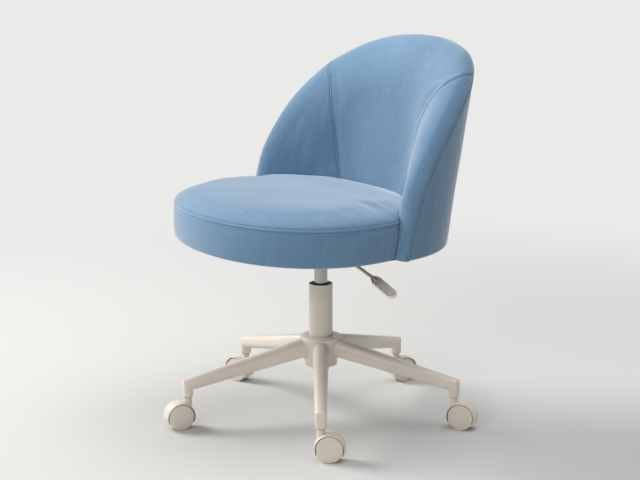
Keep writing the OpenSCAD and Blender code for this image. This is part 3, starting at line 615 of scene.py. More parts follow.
def relaxed(points, pins, voxel, cap, name):
    """Lets the pad's cloth swell between its pinned seams, and gives how far each point moves."""
    body = closed_form(name, points)
    modifier = body.modifiers.new("remesh", "REMESH")
    modifier.mode = "VOXEL"
    modifier.voxel_size = voxel
    apply_modifiers(body)
    rest = corners(body)
    tree = tree_of(pins)
    held = body.vertex_groups.new(name="held")
    for i, point in enumerate(rest):
        near = tree.find(point)[2]
        if near < PIN_REACH:
            held.add([i], min(1.0, max(0.0, 1.6 - near / PIN_FADE)), "REPLACE")
    cloth = body.modifiers.new("cloth", "CLOTH")
    cloth.settings.quality = 4
    cloth.settings.mass = 0.3
    cloth.settings.use_pressure = True
    cloth.settings.uniform_pressure_force = 9
    cloth.settings.vertex_group_mass = "held"
    cloth.settings.effector_weights.gravity = 0
    for frame_number in range(1, CLOTH_FRAMES + 1):
        bpy.context.scene.frame_set(frame_number)
    seen = body.evaluated_get(bpy.context.evaluated_depsgraph_get()).to_mesh()
    moved = np.array([v.co for v in seen.vertices]) - rest
    bpy.context.scene.frame_set(1)
    far = np.linalg.norm(moved, axis=1, keepdims=True)
    moved = moved * np.tanh(far / cap) * cap / np.maximum(far, 1e-9)
    tree = tree_of(rest)
    found = np.zeros((points.size // 3, 3))
    for i, point in enumerate(points.reshape(-1, 3)):
        near = tree.find_n(point, NEIGHBOURS)
        weights = np.array([math.exp(-(d / voxel) ** 2) + 1e-6 for _, _, d in near])
        found[i] = (moved[[j for _, j, _ in near]] * weights[:, None]).sum(0) / weights.sum()
    discard(body)
    return found


def softly(points, size, height, seed):
    """Shallow, broad unevenness of hand-fitted cloth."""
    rng = np.random.default_rng(seed)
    total = np.zeros(points.shape[:-1])
    for _ in range(14):
        wave = unit(rng.normal(size=3)) * rng.uniform(0.7, 1.6) * 2 * math.pi / size
        total += np.sin(points @ wave + rng.uniform(0, 6.28))
    return total * height / 5


def stitching(name, rows):
    """Rows of stitches: one short, rounded stitch made once and laid along each row's points."""
    pitch = bpy.context.scene.chair_upholstery.stitch_pitch
    begin()
    bpy.ops.mesh.primitive_uv_sphere_add(segments=6, ring_count=4, radius=1, rotation=(0, math.pi / 2, 0))
    pattern = bpy.context.active_object
    bpy.ops.object.transform_apply(location=True, rotation=True, scale=True)
    shape = corners(pattern) * np.array([0.34 * pitch, 0.5 * MM, 0.38 * MM])
    around = [tuple(f.vertices) for f in pattern.data.polygons]
    discard(pattern)
    points, faces = [], []
    for row, up in rows:
        run = running(row)
        for at in np.arange(pitch, run[-1] - pitch, pitch):
            here, ahead, lift = (sampled(at + on, run, line)
                                 for on, line in ((0, row), (0.5 * MM, row), (0, up)))
            along_row = unit(ahead - here)
            lift = unit(lift - along_row * (lift @ along_row))
            side = np.cross(lift, along_row)
            faces.extend([tuple(i + len(points) for i in face) for face in around])
            points.extend(here + lift * 0.12 * MM + shape @ np.array([along_row, side, lift]))
    made = mesh_object(name, points, faces)
    smooth(made)
    dress(made, finish("bonded_polyester_thread", thread_finish))
    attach(made, "seat")


# ---------------------------------------------------------------- the back


def inner_form():
    """The back's padded inner side: columns, where they end on the rim, points and distances from it."""
    columns = seam_columns(135)
    paths = inner_paths(columns)
    total = lengths(paths)
    tail = np.array([0, 0.5, 1, 1.6, 2.3, 3.2, 4.1, 4.8, 5.4, 6, 6.6, 7.2, 8, 9.2, 11, 14, 18, 23]) * MM
    body = np.linspace(0, 1, 78, endpoint=False)
    places = np.concatenate([(total[:, None] - 28 * MM) * body[None], total[:, None] - tail[::-1][None]], 1)
    grid = along(paths, places)
    from_edge = total[:, None] - places
    # Over the rolled edge the seams drift towards the middle of the back
    rolled = np.clip(1 - from_edge / DRIFT_REACH, 0, 1) ** 2.95
    drift = DRIFT * rolled * fade(np.abs(columns) - SEAM_COLUMN, 0.16)[:, None]
    drifted = columns[:, None] - np.sign(columns)[:, None] * drift
    grid = np.stack([sampled(drifted[:, j], columns, grid[:, j]) for j in range(grid.shape[1])], 1)
    return columns, drifted[:, -1], grid, from_edge


def seam_distance(columns, grid, seam):
    """Distance of each point from the column that a seam follows, measured across the cloth."""
    at = int(np.argmin(np.abs(columns - seam)))
    run = running(grid)
    return run - run[at:at + 1], at


def backing(columns, side):
    """Hidden points that close a side of the back against the frame, in order away from its seam."""
    at, out, up = (v[:, None] for v in rim_frame(RIM_END * columns))
    phi, z = on_columns(columns, np.array([[1.0, 0.8, 0.6, 0.4, 0.2, 0.0]]))
    wall = middle(phi, z) + outward(phi, z) * FRAME_HALF * side
    if side > 0:
        return np.concatenate([wall[:, ::-1], at + out * ROLL * 0.6], 1)
    hook = [at + out * ROLL * 0.6, at + out * FRAME_HALF, at + out * FRAME_HALF + up * FRAME_RISE,
            at - out * FRAME_HALF + up * FRAME_RISE]
    return np.concatenate(hook + [wall], 1)


def swollen(rings, skin, pins, cap, name):
    """The skin of a pad with the cloth's own movement added."""
    count = skin.shape[1]
    moved = relaxed(rings, pins, 7 * MM, cap, name).reshape(rings.shape)[:, :count]
    return skin + moved


class CHAIR_OT_back(bpy.types.Operator):
    """Makes the padded inner side of the back and the outer panel behind it"""

    bl_idname = "chair.back"
    bl_label = "Back"

    def execute(self, context):
        settings = context.scene.chair_upholstery
        inner = self.inner_pad(settings)
        dress(inner, finish("woven_velvet", velvet_finish))
        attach(inner, "seat")
        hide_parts("back_pad", "back_inner_cover")

        outer = self.outer_pad(settings)
        dress(outer, finish("woven_velvet", velvet_finish))
        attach(outer, "seat")
        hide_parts("back_outer_pad", "back_outer_cover")
        return {"FINISHED"}

    def inner_pad(self, settings):
        """The sitter's side: three panels over one pad, twin-stitched where they meet and round the rim."""
        columns, rim_columns, grid, from_edge = inner_form()
        hidden = backing(rim_columns, -1)
        seams = [seam_distance(columns, grid, s * SEAM_COLUMN) for s in (-1, 1)]
        pins = [grid[at, ::2] for _, at in seams] + [grid[::3, -1], grid[::3, RIM_STITCH_ROW], grid[::3, 0]]
        skin = swollen(np.concatenate([grid, hidden], 1), grid, np.concatenate(pins), settings.fullness,
                       "inner_pad_form")
        normals = facing(grid_normals(skin), (len(skin) // 2, 40), (0, -1, 0))
        depth = settings.seam_groove
        press = softly(grid, size=0.12, height=0.5 * MM, seed=3)
        press = press * np.clip(from_edge / FLAT_RIM, 0, 1)
        painted_shade_and_highlight = np.zeros(from_edge.shape)
        up = running(grid, 1)
        for distance, _ in seams:
            press = press + groove(distance, depth) + 0.16 * MM * puckers(up, 17 * MM, distance)
            # The cloth's colour gets painted shade in the seams' stitched creases
            painted_shade_and_highlight = np.maximum(painted_shade_and_highlight, fade(np.abs(distance) - TWIN, CREASE))
        edge = fade(from_edge - RIM_STITCH, CREASE) + 1.1 * fade(from_edge, SEAM_LINE)
        press = press - depth * edge + 0.3 * MM * fade(from_edge - RIM_STITCH / 2, 1.6 * MM)
        # and painted shade along the rim's stitched line and its seam
        painted_shade_and_highlight = np.maximum(painted_shade_and_highlight, np.minimum(1, edge))
        skin = lowered(skin + normals * press[..., None])
        self.stitch(seams, skin, normals)
        painted_seam_light = np.concatenate([painted_shade_and_highlight, np.zeros(hidden.shape[:2])], 1)
        rings = ended(np.concatenate([skin, hidden], 1), 9 * MM)
        return closed_form("back_inner_cushion", rings, ended_values(painted_seam_light))

    def stitch(self, seams, skin, normals):
        """Two rows of stitches at each seam, where the seat doesn't hide them, and one row inside the rim."""
        rows = []
        for distance, _ in seams:
            for away in (-TWIN, TWIN):
                row, aside = (read_off(away, distance.T, grid.transpose(1, 0, 2))
                              for grid in (skin, normals))
                shown = row[:, 2] > SEAM
                rows.append((row[shown], unit(aside[shown])))
        rows.append((skin[:, RIM_STITCH_ROW], normals[:, RIM_STITCH_ROW]))
        stitching("back_seam_stitching", rows)

    def outer_pad(self, settings):
        """The panel round the outside, from the rim's seam down and in under the chair."""
        columns = seam_columns(135)
        ends = columns[np.abs(columns) > WING_COLUMN]
        columns = np.concatenate([np.linspace(-WING_COLUMN, WING_COLUMN, 121), ends])
        columns = np.unique(np.round(columns, 6))
        paths = outer_paths(columns)
        total = lengths(paths)
        head = np.array([0, 0.5, 1, 1.6, 2.4, 3.6, 5.5, 9, 14, 20]) * MM
        share = np.minimum(1, total / (60 * MM))[:, None]
        rest = mixed(26 * MM * share, total[:, None], np.linspace(0, 1, 60)[None])
        places = np.concatenate([head[None] * share, rest], 1)
        outside = along(paths, places)
        hidden = backing(columns, 1)
        pins = np.concatenate([outside[::3, at] for at in (0, 6, -6, -1)])
        cap = settings.fullness * 0.6
        skin = swollen(np.concatenate([outside, hidden], 1), outside, pins, cap, "outer_pad_form")
        normals = facing(grid_normals(skin), (len(skin) // 2, 30), (0, 1, 0))
        edge = fade(places, SEAM_LINE)
        press = softly(outside, size=0.16, height=0.4 * MM, seed=8)
        press = press * np.clip(places / FLAT_RIM, 0, 1) - settings.seam_groove * 1.1 * edge
        skin = lowered(skin + normals * press[..., None])
        # The panel's colour gets painted shade along the rim's seam
        painted_seam_light = np.concatenate([edge, np.zeros(hidden.shape[:2])], 1)
        return closed_form("back_outer_panel", ended(np.concatenate([skin, hidden], 1)), ended_values(painted_seam_light))


def lowered(skin):
    """Brings the back's lower edge level with the seat's underside."""
    down = 1.8 * MM * np.clip(1 - (skin[..., 2] - BOARD) / (20 * MM), 0, 1)
    return skin - stacked(0.0, 0.0, down)


def ended_values(values):
    return np.concatenate([np.repeat(values[:1], 4, 0), values, np.repeat(values[-1:], 4, 0)])


# ---------------------------------------------------------------- the seat


def free_outline(psi):
    across = np.abs(np.cos(np.radians(psi))) / SEAT_HALF
    ahead = np.abs(np.sin(np.radians(psi))) / np.where(psi < 0, SEAT_REACH, SEAT_REAR)
    return (across ** SEAT_POWER + ahead ** SEAT_POWER) ** (-1 / SEAT_POWER)


def wall_outline(psi, z):
    """Distance of the back's inner face from the seat's middle, for angles from -90 to 90."""
    low = max(z, BACK_FOOT + 1.5 * MM)
    climbed = (low - BACK_FOOT) / (ROLL_TOP - BACK_FOOT)
    end = WING * (1 - climbed ** RIM_POWER) ** (1 / ARCH_POWER)
    at, out = middle(end, low), outward(end, low)
    ahead = stacked(out[1], -out[0], 0.0)
    columns = np.linspace(0, 1, 300)
    level = np.clip((low - BOARD) / np.maximum(rim_height(RIM_END * columns) - BOARD, 1e-6), 0, 1)
    turns = mixed(WING * power(columns, FAN_POWER), rim_angle(RIM_END * columns), level)
    last = math.degrees(math.acos(climbed ** (RIM_POWER / 2))) / RIM_END
    high, deep = rise(last), thickness(last)
    b = np.linspace(0, np.arccos(1 - high / SWELL), 24)[:, None]
    roll = at + ahead * (high + WALL_GAP - SWELL * (1 - np.cos(b))) - out * (deep + WALL_GAP) * np.sin(b)
    phi = np.linspace(end, 0, 60)[1:]
    face = middle(phi, low)
    deep = pad_depth(rim_distance(face), np.interp(phi, turns, columns)) + WALL_GAP
    face = face - outward(phi, low) * deep[:, None]
    points = np.concatenate([roll, face])
    x, y = points[:, 0], points[:, 1] + SEAT_LINE
    angle, far = np.degrees(np.arctan2(y, x)), np.hypot(x, y)
    return np.where(psi < angle[0], 1.0, np.interp(psi, angle, far))


DENSE = np.linspace(-180, 180, 1441)[:-1] + 0.125


def folded_angle(psi):
    return np.where(psi > 90, 180 - psi, np.where(psi < -90, -180 - psi, psi))


def outline(z):
    """The seat's outline at a height as a distance for every dense angle, its corners rounded."""
    front = folded_angle(DENSE)
    far = np.minimum(free_outline(front), wall_outline(front, z))
    kernel = np.exp(-(np.arange(-14, 15) * 0.25 / 1.0) ** 2)
    kernel /= kernel.sum()
    padded = np.concatenate([far[-14:], far, far[:14]])
    return np.convolve(padded, kernel, "valid")


def seat_angles():
    near = np.array([0, 0.4, 0.8, 1.3, 1.9, 2.6, 3.5])
    corner = np.concatenate([11 - near, 11 + near])
    every = np.linspace(-180, 180, 217)[:-1] + 0.4
    every = every[(np.abs(np.abs(every) - 11) > 4) | (every < 0)]
    every = every[(np.abs(every - 169) > 4)]
    return np.unique(np.round(np.concatenate([every, corner, 180 - corner]), 4))


def dome_height(distance):
    """Share of the crown's height at a distance in from the seam."""
    return (1 - (1 - np.clip(distance / (150 * MM), 0, 1)) ** 2.6) ** (1 / 2.2)


def side_rows():
    """Height, inset and distance below the seam of each row up the cushion's side."""
    down = np.array([0.5, 1, 1.6, 2.2, 2.8, 3.4, 4.1, 5, 6.5, 8, 9, 9.6, 10.2, 11, 12, 13.5, 16, 20, 25,
                     31, 38, 45, 52, 58, 62]) * MM
    low = BOARD - 1.8 * MM
    height = SEAM - low
    corner = 10 * MM
    band = [(SEAM - s, -1.8 * MM * math.sin(math.pi * s / height), -s)
            for s in down[down < height - corner]]
    for t in np.radians([0, 15, 30, 45, 60, 75, 90]):
        inset = corner * (1 - math.cos(t)) - 0.6 * MM * math.cos(t)
        band.append((low + corner * (1 - math.sin(t)), inset, -height))
    under = BOARD - 0.2 * MM
    lip = [(BOARD_TOP, 11), (under, 11), (under, 16.6), (low + 0.6 * MM, 16.6), (low, 16), (low, 13)]
    return [(z, inset * MM, -1) for z, inset in lip] + band[::-1]


def round_rings(psi, far, z):
    """Points about the seat's middle at angles and distances, at a height."""
    return stacked(far * np.cos(np.radians(psi)), far * np.sin(np.radians(psi)) - SEAT_LINE, z)


def seat_rings(psi, crown):
    """Rings of the cushion, their distances from its seam, and how much the back cuts off."""
    levels = np.array([BOARD - 2 * MM, BOARD + 20 * MM, SEAM - 20 * MM]
                      + [SEAM + rise_on * MM for rise_on in (0, 12, 24, 36)])
    table = np.array([np.interp(psi, DENSE, outline(z), period=360) for z in levels])
    rings, marks = [], []
    for z, inset, place in side_rows():
        far = np.array([np.interp(z, levels, column) for column in table.T]) - inset
        rings.append(round_rings(psi, far, z))
        marks.append(place)
    inward = np.concatenate([np.linspace(0, 12, 90), np.linspace(12.5, 150, 160)]) * MM
    hidden = np.clip(free_outline(folded_angle(psi)) - table[3], 0, None)
    # Where the back cuts in, the crown climbs steeply beside it
    climb = np.clip(hidden / (10 * MM), 0, 1) ** 2 * 6 * MM
    paths = []
    for i, angle in enumerate(psi):
        dome = crown * dome_height(inward + hidden[i])
        if climb[i] > 1e-5:
            dome = dome * (1 - np.clip(1 - inward / climb[i], 0, 1) ** 2.4) ** (1 / 2.4)
        paths.append(round_rings(angle, np.interp(SEAM + dome, levels, table[:, i]) - inward, SEAM + dome))
    paths = np.array(paths)
    near = np.array([0, 0.5, 1, 1.6, 2.2, 2.8, 3.4, 4.1, 5, 6.5, 8.5, 11, 14, 18, 23]) * MM
    rest = mixed(29 * MM, lengths(paths)[:, None], np.linspace(0, 1, 26)[None])
    share = np.concatenate([np.repeat([near], len(psi), 0), rest], 1)
    rings.extend(along(paths, share).transpose(1, 0, 2))
    marks.extend(share.mean(0))
    last = rings[-1]
    centre = np.array([0, -SEAT_LINE + 10 * MM, SEAM + crown])
    for t in np.linspace(0, 1, 22)[1:-1]:
        rings.append(mixed(last, centre, t) + np.array([0, 0, 2.0 * MM * math.sin(t * math.pi / 2)]))
        marks.append(1.0)
    return np.array(rings), np.array(marks)[:, None], hidden


class CHAIR_OT_seat(bpy.types.Operator):
    """Makes the crowned seat cushion with its boxed side, its welt and its top stitching"""

    bl_idname = "chair.seat"
    bl_label = "Seat"

    def execute(self, context):
        made = self.cushion(context.scene.chair_upholstery)
        dress(made, finish("woven_velvet", velvet_finish))
        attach(made, "seat")
        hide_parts("seat_foam", "seat_cover")
        return {"FINISHED"}

    def cushion(self, settings):
        psi = seat_angles()
        rings, marks, hidden = seat_rings(psi, settings.crown)
        centre = np.array([0, -SEAT_LINE, BOARD_TOP])
        floor = np.array([mixed(centre, rings[0], t) for t in (0.2, 0.6, 0.95)])
        whole = np.concatenate([floor, rings])
        seam = int(np.argmin(np.abs(marks[:, 0]) + (marks[:, 0] == -1) * 9))
        pins = np.concatenate([rings[seam, ::2], rings[3, ::3], rings[8, ::3], rings[0, ::3]])
        moved = relaxed(whole, pins, 8 * MM, settings.fullness, "seat_form").reshape(whole.shape)
        skin = rings + moved[len(floor):]
        normals = grid_normals(np.concatenate([skin[:, -2:], skin, skin[:, :2]], 1))[:, 2:-2]
        normals = facing(normals, (-3, 4), (0, 0, 1))
        # The welt stands up on the seam between two creases, and the top stitching pulls a shallow line below
        by_seam = (marks > -0.09) & (marks < 0.12)
        beside = fade(np.abs(marks) - 3.2 * MM, 1.0 * MM)
        welt = 1.1 * MM * fade(marks, 1.3 * MM) - 0.4 * settings.seam_groove * beside
        sewn = marks + SEAT_STITCH
        pulled = -0.5 * MM * fade(sewn, CREASE) - 0.25 * MM * fade(sewn, 4 * MM)
        uneven = softly(skin, size=0.15, height=0.5 * MM, seed=5) * np.clip((marks - 0.01) / 0.05, 0, 1)
        pucker = 0.12 * MM * puckers(running(rings[seam])[None], 19 * MM, marks)
        press = np.where(by_seam, welt + pulled + pucker, 0) + uneven
        # Painted shade in the crease below the welt and along the top stitching, and a painted highlight on the
        # welt
        painted_shade_and_highlight = 0.35 * fade(marks + 3 * MM, CREASE) - 0.4 * fade(marks, SEAM_LINE)
        painted_shade_and_highlight = painted_shade_and_highlight + 0.25 * fade(sewn, 0.9 * MM)
        painted_shade_and_highlight = np.where(by_seam, painted_shade_and_highlight, 0) * np.ones(len(psi))[None]
        skin = skin + normals * press[..., None]
        self.stitch(marks[:, 0], hidden, skin, normals)
        painted_seam_light = np.concatenate([np.zeros((len(floor), len(psi))), painted_shade_and_highlight])
        return closed_form("seat_cushion", np.concatenate([floor, skin]), painted_seam_light)

    def stitch(self, marks, hidden, skin, normals):
        """One row of stitches below the welt, on the side that the back leaves open."""
        order = np.argsort(marks)
        sewn = read_off(-SEAT_STITCH, [marks[order]] * len(hidden), skin[order].transpose(1, 0, 2))
        open_side = hidden < 1e-5
        start = int(np.argmax(~open_side & np.roll(open_side, -1))) + 1
        turn = np.roll(np.arange(len(hidden)), -start)
        turn = turn[open_side[turn]]
        row = int(np.argmin(np.abs(marks + SEAT_STITCH)))
        stitching("seat_top_stitching", [(sewn[turn], normals[row, turn])])


# ---------------------------------------------------------------- modelling by hand


def begin():
    """Leaves everything deselected, as each new piece starts."""
    if bpy.context.mode != "OBJECT":
        bpy.ops.object.mode_set(mode="OBJECT")
    bpy.ops.object.select_all(action="DESELECT")


def pick(obj, faces=None, edges=None):
    """Selects faces or edges of the mesh in edit mode by a test on each."""
    mesh = bmesh.from_edit_mesh(obj.data)
    for item in (*mesh.verts, *mesh.edges, *mesh.faces):
        item.select = False
    if faces:
        bpy.context.tool_settings.mesh_select_mode = (False, False, True)
        mesh.select_mode = {"FACE"}
        for face in filter(faces, list(mesh.faces)):
            face.select_set(True)
    if edges:
        bpy.context.tool_settings.mesh_select_mode = (False, True, False)
        mesh.select_mode = {"EDGE"}
        for edge in filter(edges, list(mesh.edges)):
            edge.select_set(True)
    mesh.select_flush_mode()
    bmesh.update_edit_mesh(obj.data)


def edit_all():
    bpy.ops.object.mode_set(mode="EDIT")
    bpy.ops.mesh.select_all(action="SELECT")


def extruded(*away):
    bpy.ops.mesh.extrude_region_move(TRANSFORM_OT_translate={"value": away})


def resized(factors, centre):
    bpy.ops.transform.resize(value=factors, center_override=centre)


def turned(name, profile, segments=64, closed=True):
    """A round piece about Z, grown ring by ring from its first circle through (radius, height) pairs."""
    begin()
    radius, height = profile[0]
    bpy.ops.mesh.primitive_circle_add(vertices=segments, radius=radius, location=(0, 0, 0),
                                      fill_type="NOTHING")
    made = bpy.context.active_object
    made.name = name
    bpy.ops.object.mode_set(mode="EDIT")
    bpy.ops.transform.translate(value=(0, 0, height))
    for next_radius, next_height in profile[1:]:
        extruded(0, 0, next_height - height)
        resized((next_radius / radius, next_radius / radius, 1), (0, 0, 0))
        radius, height = next_radius, next_height
    if closed:
        bpy.ops.mesh.select_all(action="SELECT")
        bpy.ops.mesh.fill_holes(sides=0)
    finish_mesh(made)
    return made


def finish_mesh(made, angle=34.0):
    """Merges doubles, turns the faces outwards and shades the piece smooth between its edges."""
    if bpy.context.mode != "EDIT_MESH":
        bpy.ops.object.mode_set(mode="EDIT")
    bpy.ops.mesh.select_all(action="SELECT")
    bpy.ops.mesh.remove_doubles(threshold=1e-6)
    bpy.ops.mesh.normals_make_consistent(inside=False)
    bpy.ops.object.mode_set(mode="OBJECT")
    bpy.ops.object.select_all(action="DESELECT")
    made.select_set(True)
    bpy.context.view_layer.objects.active = made
    bpy.ops.object.shade_smooth_by_angle(angle=math.radians(angle))


def take(made):
    """Selects one piece alone and makes it the active one."""
    begin()
    made.select_set(True)
    bpy.context.view_layer.objects.active = made


def apply_modifiers(made):
    take(made)
    for modifier in list(made.modifiers):
        bpy.ops.object.modifier_apply(modifier=modifier.name)


def bevelled(made, width, segments=3, angle=30):
    """Breaks the piece's sharp edges by a small radius."""
    modifier = made.modifiers.new("broken_edges", "BEVEL")
    modifier.width = width
    modifier.segments = segments
    modifier.limit_method = "ANGLE"
    modifier.angle_limit = math.radians(angle)
    modifier.harden_normals = False
    apply_modifiers(made)
    take(made)
    bpy.ops.object.shade_smooth_by_angle(angle=math.radians(40))


def copied(source, name, matrix):
    """A copy with its own mesh, moved to its place in the mesh itself."""
    made = source.copy()
    made.data = source.data.copy()
    made.name = name
    made.data.name = name
    made.data.transform(matrix)
    bpy.context.scene.collection.objects.link(made)
    return made


def joined(first, *others):
    begin()
    for obj in (first, *others):
        obj.select_set(True)
    bpy.context.view_layer.objects.active = first
    bpy.ops.object.join()
    return first


def discard(*pieces):
    for piece in pieces:
        mesh = piece.data
        bpy.data.objects.remove(piece)
        bpy.data.meshes.remove(mesh)


JOINTS = {joint["name"]: joint for joint in frame["joints"]}
HUB_LOW, HUB_HIGH = (corner[2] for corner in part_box("base_hub"))
HUB_R = 35 * MM
FLANGE_R = 43.5 * MM
STEM_CIRCLE = math.hypot(*JOINTS["castor_1_swivel"]["pos_m"][:2])
ARM_ROOT = (33 * MM, 40 * MM)
ARM_TIP = (24 * MM, 22 * MM)
ROOT_Z = HUB_HIGH - 27 * MM
FLARE_HIGH = HUB_HIGH - 9 * MM
BORE_R = 25.2 * MM
BORE_FLOOR = HUB_HIGH - 2.5 * MM
LIP_GAP, LIP_R = 1.3 * MM, 1.7 * MM
SOCKET_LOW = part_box("base_arm_1")[0][2]
TIP_Z = SOCKET_LOW + 11 * MM + 13.8 * MM
SOCKET_R = ARM_TIP[0] * 0.44


def hub_radius(share):
    """The hub's radius where its flank has climbed a share of the way to its flange."""
    return HUB_R + (FLANGE_R - 0.6 * MM - HUB_R) * min(1.0, max(0.0, (share - 0.3) / 0.7)) ** 2


class CHAIR_OT_base(bpy.types.Operator):
    """Makes the cast hub and the five tapered arms with their mitred sockets"""

    bl_idname = "chair.base"
    bl_label = "Five-star base"

    def execute(self, context):
        powder = finish("powder_coated_steel", powder_finish)
        foot = [(HUB_R - 5 * MM, HUB_LOW), (HUB_R - 1.6 * MM, HUB_LOW),
                (HUB_R - 0.5 * MM, HUB_LOW + 0.7 * MM)]
        flank = [(hub_radius(u), HUB_LOW + (FLARE_HIGH - HUB_LOW) * u) for u in np.linspace(0.04, 1, 16)]
        lip = [(FLANGE_R - 6 * MM * (1 - math.cos(t)), HUB_HIGH - 6 * MM * (1 - math.sin(t)))
               for t in np.radians(range(0, 91, 15))]
        mouth = [(31 * MM, HUB_HIGH), (29.6 * MM, HUB_HIGH - 0.3 * MM), (28 * MM, BORE_FLOOR),
                 (BORE_R, BORE_FLOOR), (BORE_R, HUB_LOW + 4 * MM)]
        hub = turned("hub_casting", foot + flank + lip + mouth, 96, closed=False)
        dress(hub, powder)
        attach(hub, "base")
        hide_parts("base_hub")

        arm = self.arm()
        lip = self.socket_lip()
        for k in range(5):
            x, y, _ = JOINTS[f"castor_{k + 1}_swivel"]["pos_m"]
            turn = Matrix.Rotation(math.atan2(y, x), 4, "Z")
            made = copied(arm, f"base_arm_casting_{k + 1}", turn)
            edge = copied(lip, f"socket_lip_{k + 1}", turn)
            for piece in (made, edge):
                dress(piece, powder)
                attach(piece, "base")
            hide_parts(f"base_arm_{k + 1}")
        discard(arm, lip)
        return {"FINISHED"}

    def arm(self):
        """One arm along X: a tapered tube with a mitred elbow down into its castor socket."""
        begin()
        start = HUB_R - 12 * MM
        bpy.ops.mesh.primitive_cube_add(size=1, location=(start + 0.01, 0, ROOT_Z))
        made = bpy.context.active_object
        made.name = "arm_pattern"
        bpy.ops.object.transform_apply(location=True)
        bpy.ops.object.mode_set(mode="EDIT")
        resized((0.02, ARM_ROOT[0], ARM_ROOT[1]), (start + 0.01, 0, ROOT_Z))
        pick(made, faces=lambda f: f.normal.x > 0.9)
        extruded(STEM_CIRCLE - start - 0.02, 0, TIP_Z - ROOT_Z)
        resized((1, ARM_TIP[0] / ARM_ROOT[0], ARM_TIP[1] / ARM_ROOT[1]), (STEM_CIRCLE, 0, TIP_Z))
        mesh = bmesh.from_edit_mesh(made.data)
        for vert in mesh.verts:
            if vert.co.x > STEM_CIRCLE - 1e-4:
                vert.co.x = STEM_CIRCLE + (SOCKET_R if vert.co.z > TIP_Z else -SOCKET_R)
        bmesh.update_edit_mesh(made.data)
        pick(made, faces=lambda f: f.calc_center_median().x > STEM_CIRCLE - 1e-3)
        extruded(0, 0, SOCKET_LOW - TIP_Z)
        resized((1, 1, 0), (STEM_CIRCLE, 0, SOCKET_LOW))
        pick(made, edges=self.rounded)
        bpy.ops.mesh.bevel(offset_type="PERCENT", offset_pct=43, segments=8, profile=0.5,
                           clamp_overlap=True)
        bpy.ops.object.mode_set(mode="OBJECT")
        finish_mesh(made, 30)
        bevelled(made, 1.3 * MM, 3, 36)
        return made

    def rounded(self, edge):
        """True for the edges along the arm, and not for those of its root, its mitre or the socket's foot."""
        a, b = (v.co for v in edge.verts)
        root = abs(a.x - b.x) < 1e-5 and a.x < 0.05
        foot = abs(a.z - SOCKET_LOW) < 1e-5 and abs(b.z - SOCKET_LOW) < 1e-5
        mitre = abs(abs(a.x - b.x) - 2 * SOCKET_R) < 1e-4 and abs(abs(a.z - b.z) - ARM_TIP[1]) < 1e-3
        return abs((a - b).normalized().y) < 0.3 and not (root or foot or mitre)

    def socket_lip(self):
        """The rounded lip of the hub's socket round an arm's root, with a fine gap inside it."""
        begin()
        bpy.ops.mesh.primitive_torus_add(major_segments=72, minor_segments=10, major_radius=1.0,
                                         minor_radius=0.1, rotation=(0, math.pi / 2, 0))
        made = bpy.context.active_object
        made.name = "socket_lip_pattern"
        bpy.ops.object.transform_apply(location=True, rotation=True, scale=True)
        for vert in made.data.vertices:
            x, y, z = vert.co
            turn = math.atan2(z, y)
            away = LIP_GAP + LIP_R + (math.hypot(y, z) - 1.0) * 10 * LIP_R
            wide, tall = ((size / 2 + away) * math.copysign(abs(part) ** 0.87, part)
                          for size, part in zip(ARM_ROOT, (math.cos(turn), math.sin(turn))))
            height = ROOT_Z + tall
            radius = hub_radius((height - HUB_LOW) / (FLARE_HIGH - HUB_LOW))
            vert.co = Vector((math.sqrt(max(0.0, radius ** 2 - wide ** 2)) + x * 10 * MM, wide, height))
        finish_mesh(made)
        return made


AXLE_Z = JOINTS["castor_1_near_roll"]["pos_m"][2]
WHEEL_R = 27 * MM
WHEEL_W = 13.8 * MM
WEB = 2.5 * MM
WHEEL_GAP = 0.5 * MM
HOOD_IN = WHEEL_R + 2.5 * MM
HOOD_R = WHEEL_R + 3.8 * MM
HALF_CASTOR = WEB + WHEEL_GAP + WHEEL_W + 0.2 * MM
HOOD_LOW = 13 * MM
COLLAR_R = 8.3 * MM
STEM_BORE_R = 5.55 * MM


